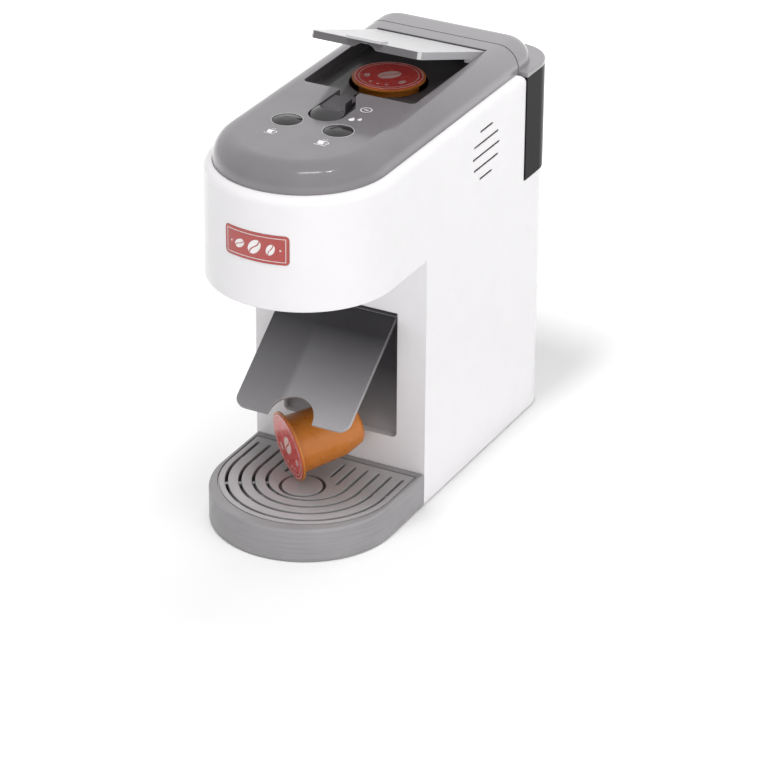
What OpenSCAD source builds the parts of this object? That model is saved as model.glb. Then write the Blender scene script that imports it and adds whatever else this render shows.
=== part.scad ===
// Toy coffee maker with a pod well, a drop gate, a pod chute with a flap,
// a lift-off water tank and a drip tray. Units are millimetres.
// X is the width, -Y is the front and +Z is up. The origin is on the
// ground, under the middle of the machine.

/* [Body] */
// Width of the body
body_w = 100; // [96:1:110]
// Depth from the front of the head to the rear of the column
body_depth = 234; // [228:1:250]
// How far the head stands out in front of the column
head_overhang = 87.2; // [84:0.2:92]
// Height of the bottom edge of the body above the ground
ground_gap = 1; // [0.6:0.1:1.6]
// Height of the underside of the head
head_floor_z = 141.8; // [136:0.2:144]
// Height of the top edge of the white body
rim_z = 202.7; // [200:0.1:208]
// Wall thickness of the body
wall = 2.5; // [2:0.1:3]
// Rounding of the body's top edge, which is also the width of its rim
rim_r = 4.4; // [3.6:0.1:5]
// Radius of the rear corners of the column
corner_r = 20; // [16:1:22]

/* [Top cover] */
// Height of the flat top of the cover above the body's top edge
cover_h = 13.8; // [13:0.1:16]
// Rounding of the cover's edge
dome_r = 12; // [9:0.5:12.5]
// Thickness of the cover's skin
cover_t = 2.2; // [1.8:0.1:2.5]
// Distance from the rear seam of the cover to the rear of the body
seam_back = 37; // [36:0.1:39]
// Width of the pod bay under the lid
bay_w = 64; // [60:1:66]
// Distance from the column's front to the front edge of the pod bay
bay_y = 18.5; // [16:0.5:20]
// Depth of the pod bay below the top
bay_depth = 6.5; // [6:0.1:7.5]
// Diameter of a button
button_d = 15; // [12:0.5:16]
// Distance of each button from the middle
button_x = 14.4; // [13.6:0.1:17]
// Distance from the column's front to the buttons, forwards
button_y = 28.5; // [27:0.5:33]
// Travel of a button
button_travel = 2; // [1:0.1:2]

/* [Lid] */
// Angle at which the lid stands open
lid_open = 19.5; // [0:0.5:70]
// Thickness of the lid's top
lid_t = 1.8; // [1.4:0.1:2]
// Depth of the lid's edge
lid_edge = 4; // [3.5:0.1:4.5]
// Radius of the lid's front corners
lid_corner_r = 4; // [2:0.5:6]
// Width of the lid's finger tab
tab_w = 19.6; // [14:0.2:24]

/* [Thumb slider] */
// Width of the slider's thumb pad
pad_d = 17.4; // [15:0.2:17.6]
// Distance from the column's front to the middle of the pad, forwards
pad_y = 12.3; // [11:0.1:13]
// Travel of the slider to the rear
slider_travel = 9; // [6:0.5:9]

/* [Pods] */
// Diameter of a pod's flange
pod_d = 38; // [36:0.5:39]
// Height of a pod
pod_h = 39; // [38:0.5:39.5]
// Wall thickness of a pod
pod_wall = 1.2; // [1:0.1:1.6]
// Distance from the front edge of the pod bay to the bore of the pod well
well_front = 13; // [12:0.1:15]
// Bore of the pod well
well_d = 41; // [40:0.2:42]
// How far the seated pod stands above the floor of the bay
pod_proud = 3.6; // [3:0.1:3.8]

/* [Drop gate] */
// Thickness of the gate
gate_t = 2; // [1.6:0.1:2.4]
// Height of the gate's crank above its pin
crank_h = 12; // [11:0.5:13]

/* [Chute] */
// Width of the pod outlet
outlet_w = 66.8; // [60:0.2:67]
// Height of the outlet's sill
sill_z = 36; // [32:0.5:38]
// Height of the top of the outlet
outlet_top_z = 108; // [104:0.5:112]
// Wall thickness of the chute
chute_t = 2; // [1.6:0.1:2.4]
// Slope of the chute's floor
chute_slope = 47; // [44:0.5:48]
// Angle at which the flap stands open
flap_open = 52; // [0:1:52]
// Thickness of the flap
flap_t = 1.8; // [1.4:0.1:2.2]
// Radius of the arch in the flap's lower edge
arch_r = 13; // [8:0.5:15]
// Radius of the flap's lower corners
flap_corner_r = 6; // [3:0.5:9]

/* [Water tank] */
// Height from the tank's upper edge to the body's top edge
tank_drop = 1.95; // [1:0.05:3]
// Wall thickness of the tank
tank_t = 2; // [1.6:0.1:2.4]
// How far the tank stands out past the sides of the body
tank_proud = 0.6; // [0.2:0.1:1]

/* [Drip tray] */
// Height of the tray's top
tray_z = 18.7; // [17:0.1:20]
// Wall thickness of the tray under its rim
tray_t = 2.2; // [1.8:0.1:2.6]
// Thickness of the drip grille
grille_t = 2.5; // [2:0.1:3]
// Width of the grille's slots
groove_w = 1.8; // [1.2:0.1:2.2]
// Distance from one curved slot to the next
groove_pitch = 7; // [6.5:0.1:7.1]
// Number of curved slots
groove_count = 4; // [3:1:4]
// Diameter of the disc in the middle of the grille
disc_d = 21; // [18:0.5:22]

/* [Hidden] */

$fn = 64;

// Running clearance of a pin in its bore, on the radius
pin_gap = 0.06;
// Gap between pieces that slide past each other
slide_gap = 0.3;
// Gap between pieces that are fitted together
fit_gap = 0.15;
// Overlap that makes a cut go right through
cut = 1;
// Radius of the hinge pins
pin_r = 1;

half_w = body_w / 2;
front_y = -body_depth / 2;
rear_y = body_depth / 2;
column_y = front_y + head_overhang;
head_y = front_y + half_w;

// Top cover
top_z = rim_z + cover_h;
ledge_z = rim_z - 2;
cover_half = half_w - rim_r - fit_gap;
cover_end = rear_y - seam_back;
head_end = cover_end + 0.7;
inner_inset = wall + 4;
skin_z = top_z - cover_t;
bay_z = top_z - bay_depth;
bay_t = 2;
bay_corner_r = 3;
bay_front = column_y + bay_y;
button_hole_d = button_d + 2 * slide_gap;
sleeve_t = 1.3;
sleeve_depth = 6.1;
button_flange_t = 1.6;
button_flange = 1.2;
button_proud = 0.9;
buttons_at = column_y - button_y;

// Circuit board
board_z = top_z - 19.5;
board_t = 1.6;
board_w = 60;
board_l = 63;
board_rear = column_y + 3;
board_top = board_z + board_t;
post_inset = 4;
board_x = board_w / 2 - post_inset;
board_ys = [board_rear - post_inset, board_rear - board_l + post_inset];
post_d = 6;
board_screw_d = 2;
switch_w = 6;
switch_h = 3.4;
plunger_h = 1.2;

// Lid and its hinge
lid_gap = 0.3;
barrel_r = 2.5;
lid_pin_z = top_z - barrel_r;
lid_pin_y = cover_end - 12.3;
bay_rear = lid_pin_y + barrel_r + 0.4;
lid_front = bay_front + 2.5;
tab_t = 1.2;
tab_out = lid_front - bay_front - slide_gap;
tab_back = 6;
notch_r = 9;
notch_drop = 6.2;
lid_arm_w = 3;
lid_arm_l = 17;
lid_arm_drop = 3.6;

// Thumb slider and its channel
channel_x = -0.7;
channel_gap = 0.8;
channel_r = pad_d / 2 + channel_gap;
channel_t = bay_t;
channel_taper = 5;
channel_straight = 2.5;
pad_at = column_y - pad_y;
arm_w = 8.8;
arm_top = top_z - 0.6;
arm_right = channel_x + 2 - channel_gap;
arm_t = 2;
arm_rear = bay_front + 3.5;
arm_step = lid_front - slider_travel - slide_gap;
pad_top = top_z + 3;
pad_crown = 16;
crown_back = 3;
dish_r = 12;
dish_up = 11;
dish_back = 8;
peg_r = 1.5;
peg_z = board_top + 3;
slider_z = bay_z + fit_gap;
link_w = 4;
link_t = 2;
link_x = channel_x - channel_r + channel_gap + arm_w / 2;
link_y = bay_front + slide_gap;
foot_t = 1.6;
foot_up = 10.4;

// Pods
pod_flange_t = 1.5;
pod_neck_d = pod_d - 6.4;
pod_waist_d = pod_d - 8.8;
pod_waist_h = 11;
pod_base_d = pod_d - 15;
foil_t = 0.4;
foil_inset = 1;
well_at = bay_front + well_front + well_d / 2;
pod_top_z = bay_z + pod_proud;
pod_base_z = pod_top_z - pod_h;

// Gate under the pod well
well_t = 1.6;
well_r = well_d / 2;
gate_top = pod_base_z - slide_gap;
gate_pin_z = gate_top - gate_t;
gate_pin_y = well_at - well_r - 4.5;
gate_barrel_r = 2.4;
gate_len = well_d + 5;
gate_w = well_d - 3;
well_bottom = gate_top + slide_gap;
crank_w = 3;
crank_t = 3;
crank_gap = 0.8;
lug_t = 3;

// Chute and flap
outlet_half = outlet_w / 2;
outlet_corner_r = 3;
flap_pin_r = 0.8;
flap_pin_y = column_y + wall - flap_pin_r - 0.1;
flap_pin_l = 3;
flap_gap = 0.4;
flap_barrel_r = 1.6;
flap_pin_z = outlet_top_z - flap_barrel_r - slide_gap;
flap_len = flap_pin_z - sill_z - 0.5;
sill_depth = 4.6;
shaft_front = gate_pin_y - gate_barrel_r - 2.6;
shaft_rear = well_at + well_r + 5.5;
shaft_top = gate_pin_z - 20;

// Tank, and the shelf that it stands on
shelf_z = head_floor_z + 0.2;
tank_front = cover_end + 1.2;
tank_rear = rear_y + tank_proud;
tank_half = half_w + tank_proud;
tank_base = shelf_z + fit_gap;
tank_top = rim_z - tank_drop;
flange_t = 2.6;
tank_dome_inset = rim_r + tank_proud;
tank_dome_rear = tank_rear - 13;
tank_lid_t = 2;
spigot_y = rear_y - 18.8;
spigot_r = 3.5;
outlet_r = 5;

// Pump and hose
pump_w = 28;
pump_h = 20;
motor_d = 24;
motor_h = 28;
shelf_under = shelf_z - wall;
outlet_z = shelf_under - 10;
hose_r = 2.5;
hose_x = -(outlet_half + chute_t + half_w - wall) / 2;
hose_bend = 7;
hose_rise = 14;
hose_climb = [column_y + 10, column_y + 70];
hose_turn = [20, 14];
nozzle_l = 10;
nozzle_out = 5;
nozzle_t = 1.1;
nozzle_in = 4;
motor_cap = [4, 2.5];
spout_y = column_y - 40.5;
spout_r = 6;
spout_drop = 8;
spout_top = head_floor_z + wall + 3.5;

// Speaker in the right side
speaker_y = cover_end - 44.8;
speaker_z = rim_z - 25.7;
speaker_r = 18;
speaker_t = 6;
vent_h = 1.2;
vent_pitch = 6.6;
vent_half = [7.2, 13.9, 15.2, 13.9, 7.2];

// Batteries
cell_d = 14.5;
cell_l = 50.5;
cell_pitch = cell_d + 0.6;
cells = 3;
box_t = 1.6;
cell_room = 0.3;
box_roof = 1.6;
box_l = cell_l + 6;
box_w = cells * cell_pitch + 1;
box_y = rear_y - 58.8;
base_t = 2.2;
base_top = ground_gap + base_t;
door_gap = 0.3;
door_margin = 4;
box_flange = 5;
door_tab_w = 8;
door_tab_x = 16;
door_screw_y = box_y + box_w / 2 + 5;
door_boss_r = 4;
door_screw_r = 1.2;

// Fasteners and feet
boss_d = 9;
boss_h = 20;
screw_d = 3;
screw_head_d = 5.5;
screw_head_t = 1.4;
boss_x = half_w - 6.5;
boss_ys = [column_y + 14, rear_y - 26];
foot_d = 10;
foot_x = half_w - 16;
foot_ys = [column_y + 26, rear_y - 14];
tray_foot_x = 26;
tray_foot_y = head_y + 4;

// Tray and grille
tray_rear = column_y - slide_gap;
grille_half = half_w - 2.5;
grille_y = head_y + 4.2;
grille_rear = column_y - 4.5;
grille_low = tray_z - grille_t;
rebate_w = 0.7;
rebate_h = 0.8;
groove_start = column_y - 11;
groove_edge = 4.5;
groove_r0 = grille_half - groove_edge - (groove_count - 1) * groove_pitch;
straight_inset = [7, 13.5];
straight_len = [20, 14];
tongue_x = 30;
tongue_w = 12;
tongue_h = 4;
tongue_z = ground_gap + 3;
tongue_l = 6;

// Plate on the front of the head
plate_w = 35.4;
plate_h = 15.4;
plate_z = rim_z - 35.7;
plate_corner_r = 2;
plate_t = 0.7;
plate_proud = 0.25;

// Pod at the outlet: yaw and tilt of its axis, and the middle of its lid
exit_yaw = 38;
exit_tilt = 10.2;
exit_x = -9.9;
exit_y = column_y - 38;

// ---------------------------------------------------------------------
// Shapes that several pieces share

// Half section: reach wide, from z0 to z1, with its top edge rounded by r
module half_section(reach, z0, z1, r) {
    translate([0, z0])
        square([reach, z1 - z0 - r]);
    translate([0, z0])
        square([reach - r, z1 - z0]);
    if (r > 0)
        translate([reach - r, z1 - r])
            intersection() {
                circle(r);
                square(r);
            }
}

// Front half of a disc
module half_disc(r) {
    intersection() {
        circle(r, $fn = 128);
        translate([-r, -r])
            square([2 * r, r]);
    }
}

// Block with a half-round front about head_y, a flat rear and a rounded top edge
module round_front(reach, rear, z0, z1, r) {
    translate([0, head_y, 0])
        rotate([0, 0, 180])
            rotate_extrude(angle = 180, $fn = 128)
                half_section(reach, z0, z1, r);
    translate([0, head_y, 0])
        mirror([0, 1, 0])
            rotate([90, 0, 0])
                linear_extrude(rear - head_y)
                    for (side = [0, 1])
                        mirror([side, 0])
                            half_section(reach, z0, z1, r);
}

// Block with a flat front, two round rear corners and a rounded top edge
module round_rear(reach, front, rear, z0, z1, corner, r) {
    translate([0, rear - corner, 0])
        rotate([90, 0, 0])
            linear_extrude(rear - corner - front)
                for (side = [0, 1])
                    mirror([side, 0])
                        half_section(reach, z0, z1, r);
    for (side = [0, 1])
        mirror([side, 0, 0])
            translate([reach - corner, rear - corner, 0]) {
                rotate_extrude(angle = 90)
                    half_section(corner, z0, z1, r);
                mirror([0, 1, 0])
                    rotate([90, 0, -90])
                        linear_extrude(reach - corner)
                            half_section(corner, z0, z1, r);
            }
}

// Box centred on x, from y0 to y1 and z0 to z1
module slab(w, y0, y1, z0, z1, x = 0) {
    translate([x - w / 2, y0, z0])
        cube([w, y1 - y0, z1 - z0]);
}

// Upright cylinder from z0 to z1
module post(x, y, z0, z1, r) {
    translate([x, y, z0])
        cylinder(h = z1 - z0, r = r);
}

// Bar along X, centred on x
module cross_bar(length, y, z, r, x = 0) {
    translate([x - length / 2, y, z])
        rotate([0, 90, 0])
            cylinder(h = length, r = r);
}

// Flat rectangle with round corners, centred
module round_rect(w, h, r) {
    square([w - 2 * r, h], center = true);
    square([w, h - 2 * r], center = true);
    for (x = [-1, 1], y = [-1, 1])
        translate([x * (w / 2 - r), y * (h / 2 - r)])
            circle(r);
}

// Rectangle from y0 to y1, centred on x, with its two corners at y0 rounded
module tab_shape(w, y0, y1, r) {
    translate([-w / 2, y0 + r])
        square([w, y1 - y0 - r]);
    translate([-w / 2 + r, y0])
        square([w - 2 * r, r + 1]);
    for (side = [-1, 1])
        translate([side * (w / 2 - r), y0 + r])
            circle(r);
}

function unit(v) = v / norm(v);

// The corner of a route, rounded into a few points that start and end r from it
function bend(before, corner, after, r, steps = 4) = let (
    a = corner + r * unit(before - corner),
    b = corner + r * unit(after - corner)
) [for (i = [0:steps]) let (t = i / steps) (1 - t) * (1 - t) * a + 2 * t * (1 - t) * corner + t * t * b];

// A route with all its corners rounded
function rounded(route, r) = let (last = len(route) - 1) concat(
    [route[0]],
    [for (i = [1:last - 1]) each bend(route[i - 1], route[i], route[i + 1], r)],
    [route[last]]
);

// Direction of a route at one of its points
function heading(p, i) = let (last = len(p) - 1)
    unit((i < last ? unit(p[i + 1] - p[i]) : [0, 0, 0]) + (i > 0 ? unit(p[i] - p[i - 1]) : [0, 0, 0]));

// Sideways direction at a point, carried along the route without twisting
function sideways(p, i) = let (t = heading(p, i), s = i == 0 ? [0.1, 0.2, 1] : sideways(p, i - 1))
    unit(s - (s * t) * t);

// Round hose that follows a route
module hose(p, r, sides = 10) {
    rings = len(p);
    at = [for (i = [0:rings - 1]) let (u = sideways(p, i), v = cross(heading(p, i), u))
        for (s = [0:sides - 1]) p[i] + r * (cos(360 * s / sides) * u + sin(360 * s / sides) * v)];
    walls = [for (i = [0:rings - 2], s = [0:sides - 1]) let (n = (s + 1) % sides)
        [i * sides + s, i * sides + n, (i + 1) * sides + n, (i + 1) * sides + s]];
    ends = [[for (s = [sides - 1:-1:0]) s], [for (s = [0:sides - 1]) (rings - 1) * sides + s]];
    polyhedron(at, concat(walls, ends));
}

// Closed coil spring standing on z = 0
module coil(r, wire, h, turns) {
    sides = 6;
    rings = 12 * turns;
    at = [for (i = [0:rings]) let (a = 360 * turns * i / rings, z = wire + (h - 2 * wire) * i / rings)
        [for (s = [0:sides - 1]) let (b = 360 * s / sides, q = r + wire * cos(b))
            [q * cos(a), q * sin(a), z + wire * sin(b)]]];
    walls = [for (i = [0:rings - 1], s = [0:sides - 1]) let (n = (s + 1) % sides)
        [i * sides + s, (i + 1) * sides + s, (i + 1) * sides + n, i * sides + n]];
    ends = [[for (s = [0:sides - 1]) s], [for (s = [sides - 1:-1:0]) rings * sides + s]];
    polyhedron([for (ring = at) each ring], concat(walls, ends));
}

// ---------------------------------------------------------------------
// Body

module shell_outside() {
    round_rear(half_w, column_y, rear_y, ground_gap, shelf_z, corner_r, 0);
    difference() {
        round_front(half_w, head_end, head_floor_z, rim_z, rim_r);
        // rounded upper corners at the rear of the head
        difference() {
            slab(body_w + cut, head_end - rim_r, head_end + cut, rim_z - rim_r, rim_z + cut);
            cross_bar(body_w + 3 * cut, head_end - rim_r, rim_z - rim_r, rim_r);
        }
    }
}

module shell_inside() {
    round_rear(half_w - wall, column_y + wall, rear_y - wall, ground_gap - cut,
        shelf_under, corner_r - wall, 0);
    round_front(half_w - wall, cover_end - wall, head_floor_z + wall, ledge_z - 2, 0);
    // inside edge of the ledge that carries the top cover
    round_front(half_w - inner_inset, cover_end - wall, ledge_z - 2 - cut, ledge_z + cut, 0);
    round_front(half_w - rim_r, cover_end + cut, ledge_z, rim_z + cut, 0);
    // the column opens into the head above its front wall
    slab(body_w - 2 * wall, column_y + wall, cover_end - wall, shelf_under - cut, head_floor_z + wall + cut);
}

module speaker_seat() {
    translate([half_w - wall - speaker_t, speaker_y, speaker_z])
        rotate([0, 90, 0])
            difference() {
                cylinder(h = speaker_t + 0.5, r = speaker_r + 2.2);
                translate([0, 0, -cut])
                    cylinder(h = speaker_t + cut, r = speaker_r + fit_gap);
            }
}

module vents() {
    rows = len(vent_half);
    for (i = [0:rows - 1])
        translate([half_w - wall - cut, speaker_y, speaker_z + vent_pitch * ((rows - 1) / 2 - i)])
            rotate([90, 0, 90])
                linear_extrude(wall + 2 * cut)
                    round_rect(2 * vent_half[i], vent_h, vent_h / 2 - 0.01);
}

// Rounded plate shape on the curved front of the head
module front_patch(inner, outer, grow) {
    intersection() {
        translate([0, head_y, 0])
            difference() {
                cylinder(h = rim_z, r = outer, $fn = 128);
                translate([0, 0, -cut])
                    cylinder(h = rim_z + 2 * cut, r = inner, $fn = 128);
            }
        translate([0, head_y, plate_z + plate_h / 2])
            rotate([90, 0, 0])
                linear_extrude(half_w + cut)
                    round_rect(plate_w + 2 * grow, plate_h + 2 * grow, plate_corner_r + grow);
    }
}

module body_shell() {
    color("white")
        difference() {
            union() {
                difference() {
                    shell_outside();
                    shell_inside();
                }
                for (x = [-1, 1], y = boss_ys)
                    post(x * boss_x, y, base_top, boss_h, boss_d / 2);
                slab(outlet_w, column_y + wall / 2, column_y + sill_depth, sill_z - wall, sill_z);
                speaker_seat();
            }
            translate([0, column_y + wall + cut, 0])
                rotate([90, 0, 0])
                    linear_extrude(wall + 2 * cut)
                        tab_shape(outlet_w, sill_z, outlet_top_z, outlet_corner_r);
            for (x = [-1, 1]) {
                slab(tongue_w + 0.8, column_y - cut, column_y + wall + cut,
                    tongue_z - 0.3, tongue_z + tongue_h + 0.3, x * tongue_x);
                for (y = boss_ys)
                    post(x * boss_x, y, ground_gap, boss_h - 3, screw_d / 2 + 0.05);
            }
            cross_bar(outlet_w + 2 * flap_pin_l, flap_pin_y, flap_pin_z, flap_pin_r + 0.02);
            post(0, spout_y, head_floor_z - cut, head_floor_z + wall + cut, spout_r + fit_gap);
            post(0, spigot_y, shelf_under - cut, shelf_z + cut, outlet_r);
            vents();
            front_patch(half_w - (plate_t - plate_proud), half_w + cut, 0.1);
        }
}

module front_plate() {
    color("firebrick")
        front_patch(half_w - (plate_t - plate_proud) + 0.01, half_w + plate_proud, 0);
}

module base_plate() {
    color("dimgray")
        difference() {
            round_rear(half_w - wall - fit_gap, column_y + wall + fit_gap, rear_y - wall - fit_gap,
                ground_gap, base_top, corner_r - wall - fit_gap, 0);
            door_block(0, ground_gap - cut, base_top + cut);
            for (x = [-1, 1], y = boss_ys) {
                post(x * boss_x, y, ground_gap - cut, base_top + cut, screw_d / 2 + 0.1);
                post(x * boss_x, y, ground_gap - cut, ground_gap + screw_head_t, screw_head_d / 2 + 0.1);
            }
            for (x = [-1, 1], y = foot_ys)
                post(x * foot_x, y, ground_gap - cut, ground_gap + 1, foot_d / 2 + 0.05);
        }
}

module screw(x, y, z, length) {
    post(x, y, z, z + screw_head_t, screw_head_d / 2);
    post(x, y, z, z + length, screw_d / 2);
}

module base_screws() {
    color("silver")
        for (x = [-1, 1], y = boss_ys)
            screw(x * boss_x, y, ground_gap, 14);
}

module base_feet() {
    color("gray")
        for (x = [-1, 1], y = foot_ys)
            post(x * foot_x, y, 0, ground_gap + 1, foot_d / 2);
}

// ---------------------------------------------------------------------
// Batteries

// Outline of the battery door, with a round tongue for its screw, made smaller by inset
module door_block(inset, z0, z1) {
    half_y = (box_w + door_margin) / 2 - inset;
    slab(box_l + door_margin - 2 * inset, box_y - half_y, box_y + half_y, z0, z1);
    post(0, door_screw_y, z0, z1, door_boss_r + 1 - inset);
}

module battery_box() {
    half_y = box_w / 2;
    flange = half_y + box_t + box_flange;
    color("gray")
        difference() {
            union() {
                slab(box_l + 2 * box_t, box_y - half_y - box_t, box_y + half_y + box_t,
                    base_top, base_top + cell_d + 2 * cell_room + box_roof);
                slab(box_l + 2 * box_t + 2 * box_flange, box_y - flange, box_y + flange,
                    base_top, base_top + box_t);
                post(0, door_screw_y, base_top, base_top + 9, door_boss_r);
            }
            slab(box_l, box_y - half_y, box_y + half_y, base_top - cut, base_top + cell_d + 2 * cell_room);
            post(0, door_screw_y, base_top - cut, base_top + 8, door_screw_r + 0.05);
            // slots for the door's tabs
            for (x = [-1, 1])
                slab(door_tab_w + 1, box_y - flange - cut, box_y - half_y + cut,
                    base_top - cut, base_top + 1.3, x * door_tab_x);
        }
}

module batteries() {
    color("darkgoldenrod")
        for (i = [0:cells - 1]) {
            y = box_y + (i - (cells - 1) / 2) * cell_pitch;
            turn = i % 2 == 0 ? 1 : -1;
            cross_bar(cell_l - 1.4, y, base_top + cell_d / 2 + cell_room, cell_d / 2, -0.7 * turn);
            cross_bar(1.4, y, base_top + cell_d / 2 + cell_room, 2.7, turn * (cell_l / 2 - 0.7));
        }
}

module battery_contacts() {
    gap = (box_l - cell_l) / 2;
    color("silver")
        for (i = [0:cells - 1], side = [-1, 1]) {
            y = box_y + (i - (cells - 1) / 2) * cell_pitch;
            plus = (i % 2 == 0 ? 1 : -1) == side;
            z = base_top + cell_d / 2 + cell_room;
            slab(0.5, y - 4.5, y + 4.5, z - 4.5, z + 4.5, side * (box_l / 2 - 0.35));
            if (plus)
                cross_bar(gap - 0.9, y, z, 2, side * (cell_l / 2 + (gap - 0.9) / 2 + 0.15));
            else
                cross_bar(gap - 0.9, y, z, 3.6, side * (cell_l / 2 + (gap - 0.9) / 2 + 0.15));
        }
}

module battery_door() {
    edge = (box_w + door_margin) / 2;
    color("dimgray")
        difference() {
            union() {
                door_block(door_gap, ground_gap, base_top);
                // tabs that reach over the edge of the base plate
                for (x = [-1, 1]) {
                    slab(door_tab_w, box_y - edge + door_gap, box_y - edge + door_gap + 2,
                        base_top - 0.1, base_top + 1, x * door_tab_x);
                    slab(door_tab_w, box_y - edge - 1.4, box_y - edge + door_gap + 0.1,
                        base_top + 0.05, base_top + 1, x * door_tab_x);
                }
            }
            post(0, door_screw_y, ground_gap - cut, base_top + cut, door_screw_r + 0.15);
            post(0, door_screw_y, ground_gap - cut, ground_gap + screw_head_t, screw_head_d / 2 + 0.1);
            // finger grooves
            for (i = [-2:2])
                slab(14, box_y - 4 + 3 * i, box_y - 3 + 3 * i, ground_gap - cut, ground_gap + 0.6);
        }
}

module door_screw() {
    color("silver") {
        post(0, door_screw_y, ground_gap, ground_gap + screw_head_t, screw_head_d / 2);
        post(0, door_screw_y, ground_gap, base_top + 7, door_screw_r);
    }
}

// ---------------------------------------------------------------------
// Top cover and controls

// Outline of the slider's channel: a round toe and a narrower neck that
// opens into the pod bay
module channel_outline(grow) {
    toe = pad_d / 2 + grow;
    left = channel_x - toe;
    translate([channel_x, pad_at])
        circle(toe);
    polygon([
        [left, pad_at],
        [left, bay_front + cut],
        [channel_x + 2, bay_front + cut],
        [channel_x + 2, bay_front - channel_taper + grow],
        [channel_x + toe, pad_at + slider_travel + channel_straight + grow],
        [channel_x + toe, pad_at]
    ]);
}

module dome_solid(inset) {
    round_front(cover_half - inset, cover_end - inset, ledge_z - (inset > 0 ? cut : 0),
        top_z - inset, dome_r - inset);
}

module top_cover() {
    tub_half = bay_w / 2 + bay_t;
    color("silver")
        difference() {
            union() {
                difference() {
                    dome_solid(0);
                    dome_solid(cover_t);
                }
                slab(2 * tub_half, bay_front - bay_t, bay_rear + bay_t, bay_z - bay_t, skin_z + 0.5);
                translate([0, 0, bay_z - channel_t])
                    linear_extrude(skin_z - bay_z + channel_t + 0.5)
                        channel_outline(channel_gap + 1.6);
                for (x = [-1, 1]) {
                    post(x * button_x, buttons_at, skin_z - sleeve_depth, skin_z + 0.5,
                        button_hole_d / 2 + sleeve_t);
                    for (y = board_ys)
                        post(x * board_x, y, board_top, skin_z + 0.5, post_d / 2);
                }
            }
            translate([0, 0, bay_z])
                linear_extrude(bay_depth + cut)
                    tab_shape(bay_w, bay_front, bay_rear, bay_corner_r);
            translate([0, 0, bay_z])
                linear_extrude(bay_depth + cut)
                    channel_outline(channel_gap);
            // slot for the slider's peg
            slab(2 * peg_r + 1, pad_at - peg_r - 0.5, pad_at + slider_travel + peg_r + 0.5,
                bay_z - channel_t - cut, bay_z + cut, channel_x);
            // slit for the gate link
            slab(link_w + 0.8, bay_front, link_y + link_t + slider_travel + slide_gap,
                bay_z - bay_t - cut, bay_z + cut, link_x);
            post(0, well_at, bay_z - bay_t - cut, bay_z + cut, well_r);
            cross_bar(bay_w + 3, lid_pin_y, lid_pin_z, pin_r + 0.02);
            for (x = [-1, 1]) {
                post(x * button_x, buttons_at, skin_z - sleeve_depth - cut, top_z + cut, button_hole_d / 2);
                for (y = board_ys)
                    post(x * board_x, y, board_top - cut, board_top + 8, board_screw_d / 2 + 0.05);
            }
        }
}

module button(x) {
    crown = 26;
    edge_z = top_z + button_proud - 0.9;
    flange_z = skin_z - sleeve_depth - slide_gap - button_flange_t;
    intersection() {
        union() {
            post(x, buttons_at, flange_z, top_z + button_proud, button_d / 2);
            post(x, buttons_at, flange_z, flange_z + button_flange_t, button_hole_d / 2 + button_flange);
        }
        translate([x, buttons_at, edge_z + 1 - crown])
            sphere(crown, $fn = 96);
    }
    post(x, buttons_at, board_top + switch_h + plunger_h + button_travel + 0.4, flange_z + 0.5, 2);
}

module button_small() {
    color("dimgray")
        button(-button_x);
}

module button_large() {
    color("dimgray")
        button(button_x);
}

// Coil spring between the circuit board and a button's flange
module button_spring(x) {
    flange_z = skin_z - sleeve_depth - slide_gap - button_flange_t;
    translate([x, buttons_at, board_top + 0.1])
        coil(6.2, 0.4, flange_z - board_top - 0.2, 4);
}

module spring_small() {
    color("silver")
        button_spring(-button_x);
}

module spring_large() {
    color("silver")
        button_spring(button_x);
}

module circuit_board() {
    color("seagreen")
        difference() {
            slab(board_w, board_rear - board_l, board_rear, board_z, board_top);
            for (x = [-1, 1], y = board_ys)
                post(x * board_x, y, board_z - cut, board_top + cut, board_screw_d / 2 + 0.1);
        }
}

module button_switches() {
    color("black")
        for (x = [-1, 1]) {
            slab(switch_w, buttons_at - switch_w / 2, buttons_at + switch_w / 2,
                board_top, board_top + switch_h, x * button_x);
            post(x * button_x, buttons_at, board_top, board_top + switch_h + plunger_h, 1.6);
        }
}

module mode_switch() {
    color("black")
        difference() {
            slab(8, pad_at - 5, pad_at + slider_travel + 5, board_top, board_top + 5, channel_x);
            slab(2 * peg_r + 1, pad_at - peg_r - 0.5, pad_at + slider_travel + peg_r + 0.5,
                peg_z - 0.4, board_top + 5 + cut, channel_x);
        }
}

module board_screws() {
    color("silver")
        for (x = [-1, 1], y = board_ys) {
            post(x * board_x, y, board_z - 1.4, board_z, 2);
            post(x * board_x, y, board_z - 1.4, board_top + 7, board_screw_d / 2);
        }
}

// ---------------------------------------------------------------------
// Lid

// Lid outline seen from above, with its rear edge on the hinge's axis
module lid_outline(inset) {
    tab_shape(bay_w - 2 * lid_gap - 2 * inset, lid_front + inset - lid_pin_y, 0,
        max(lid_corner_r - inset, 0.5));
}

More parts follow.
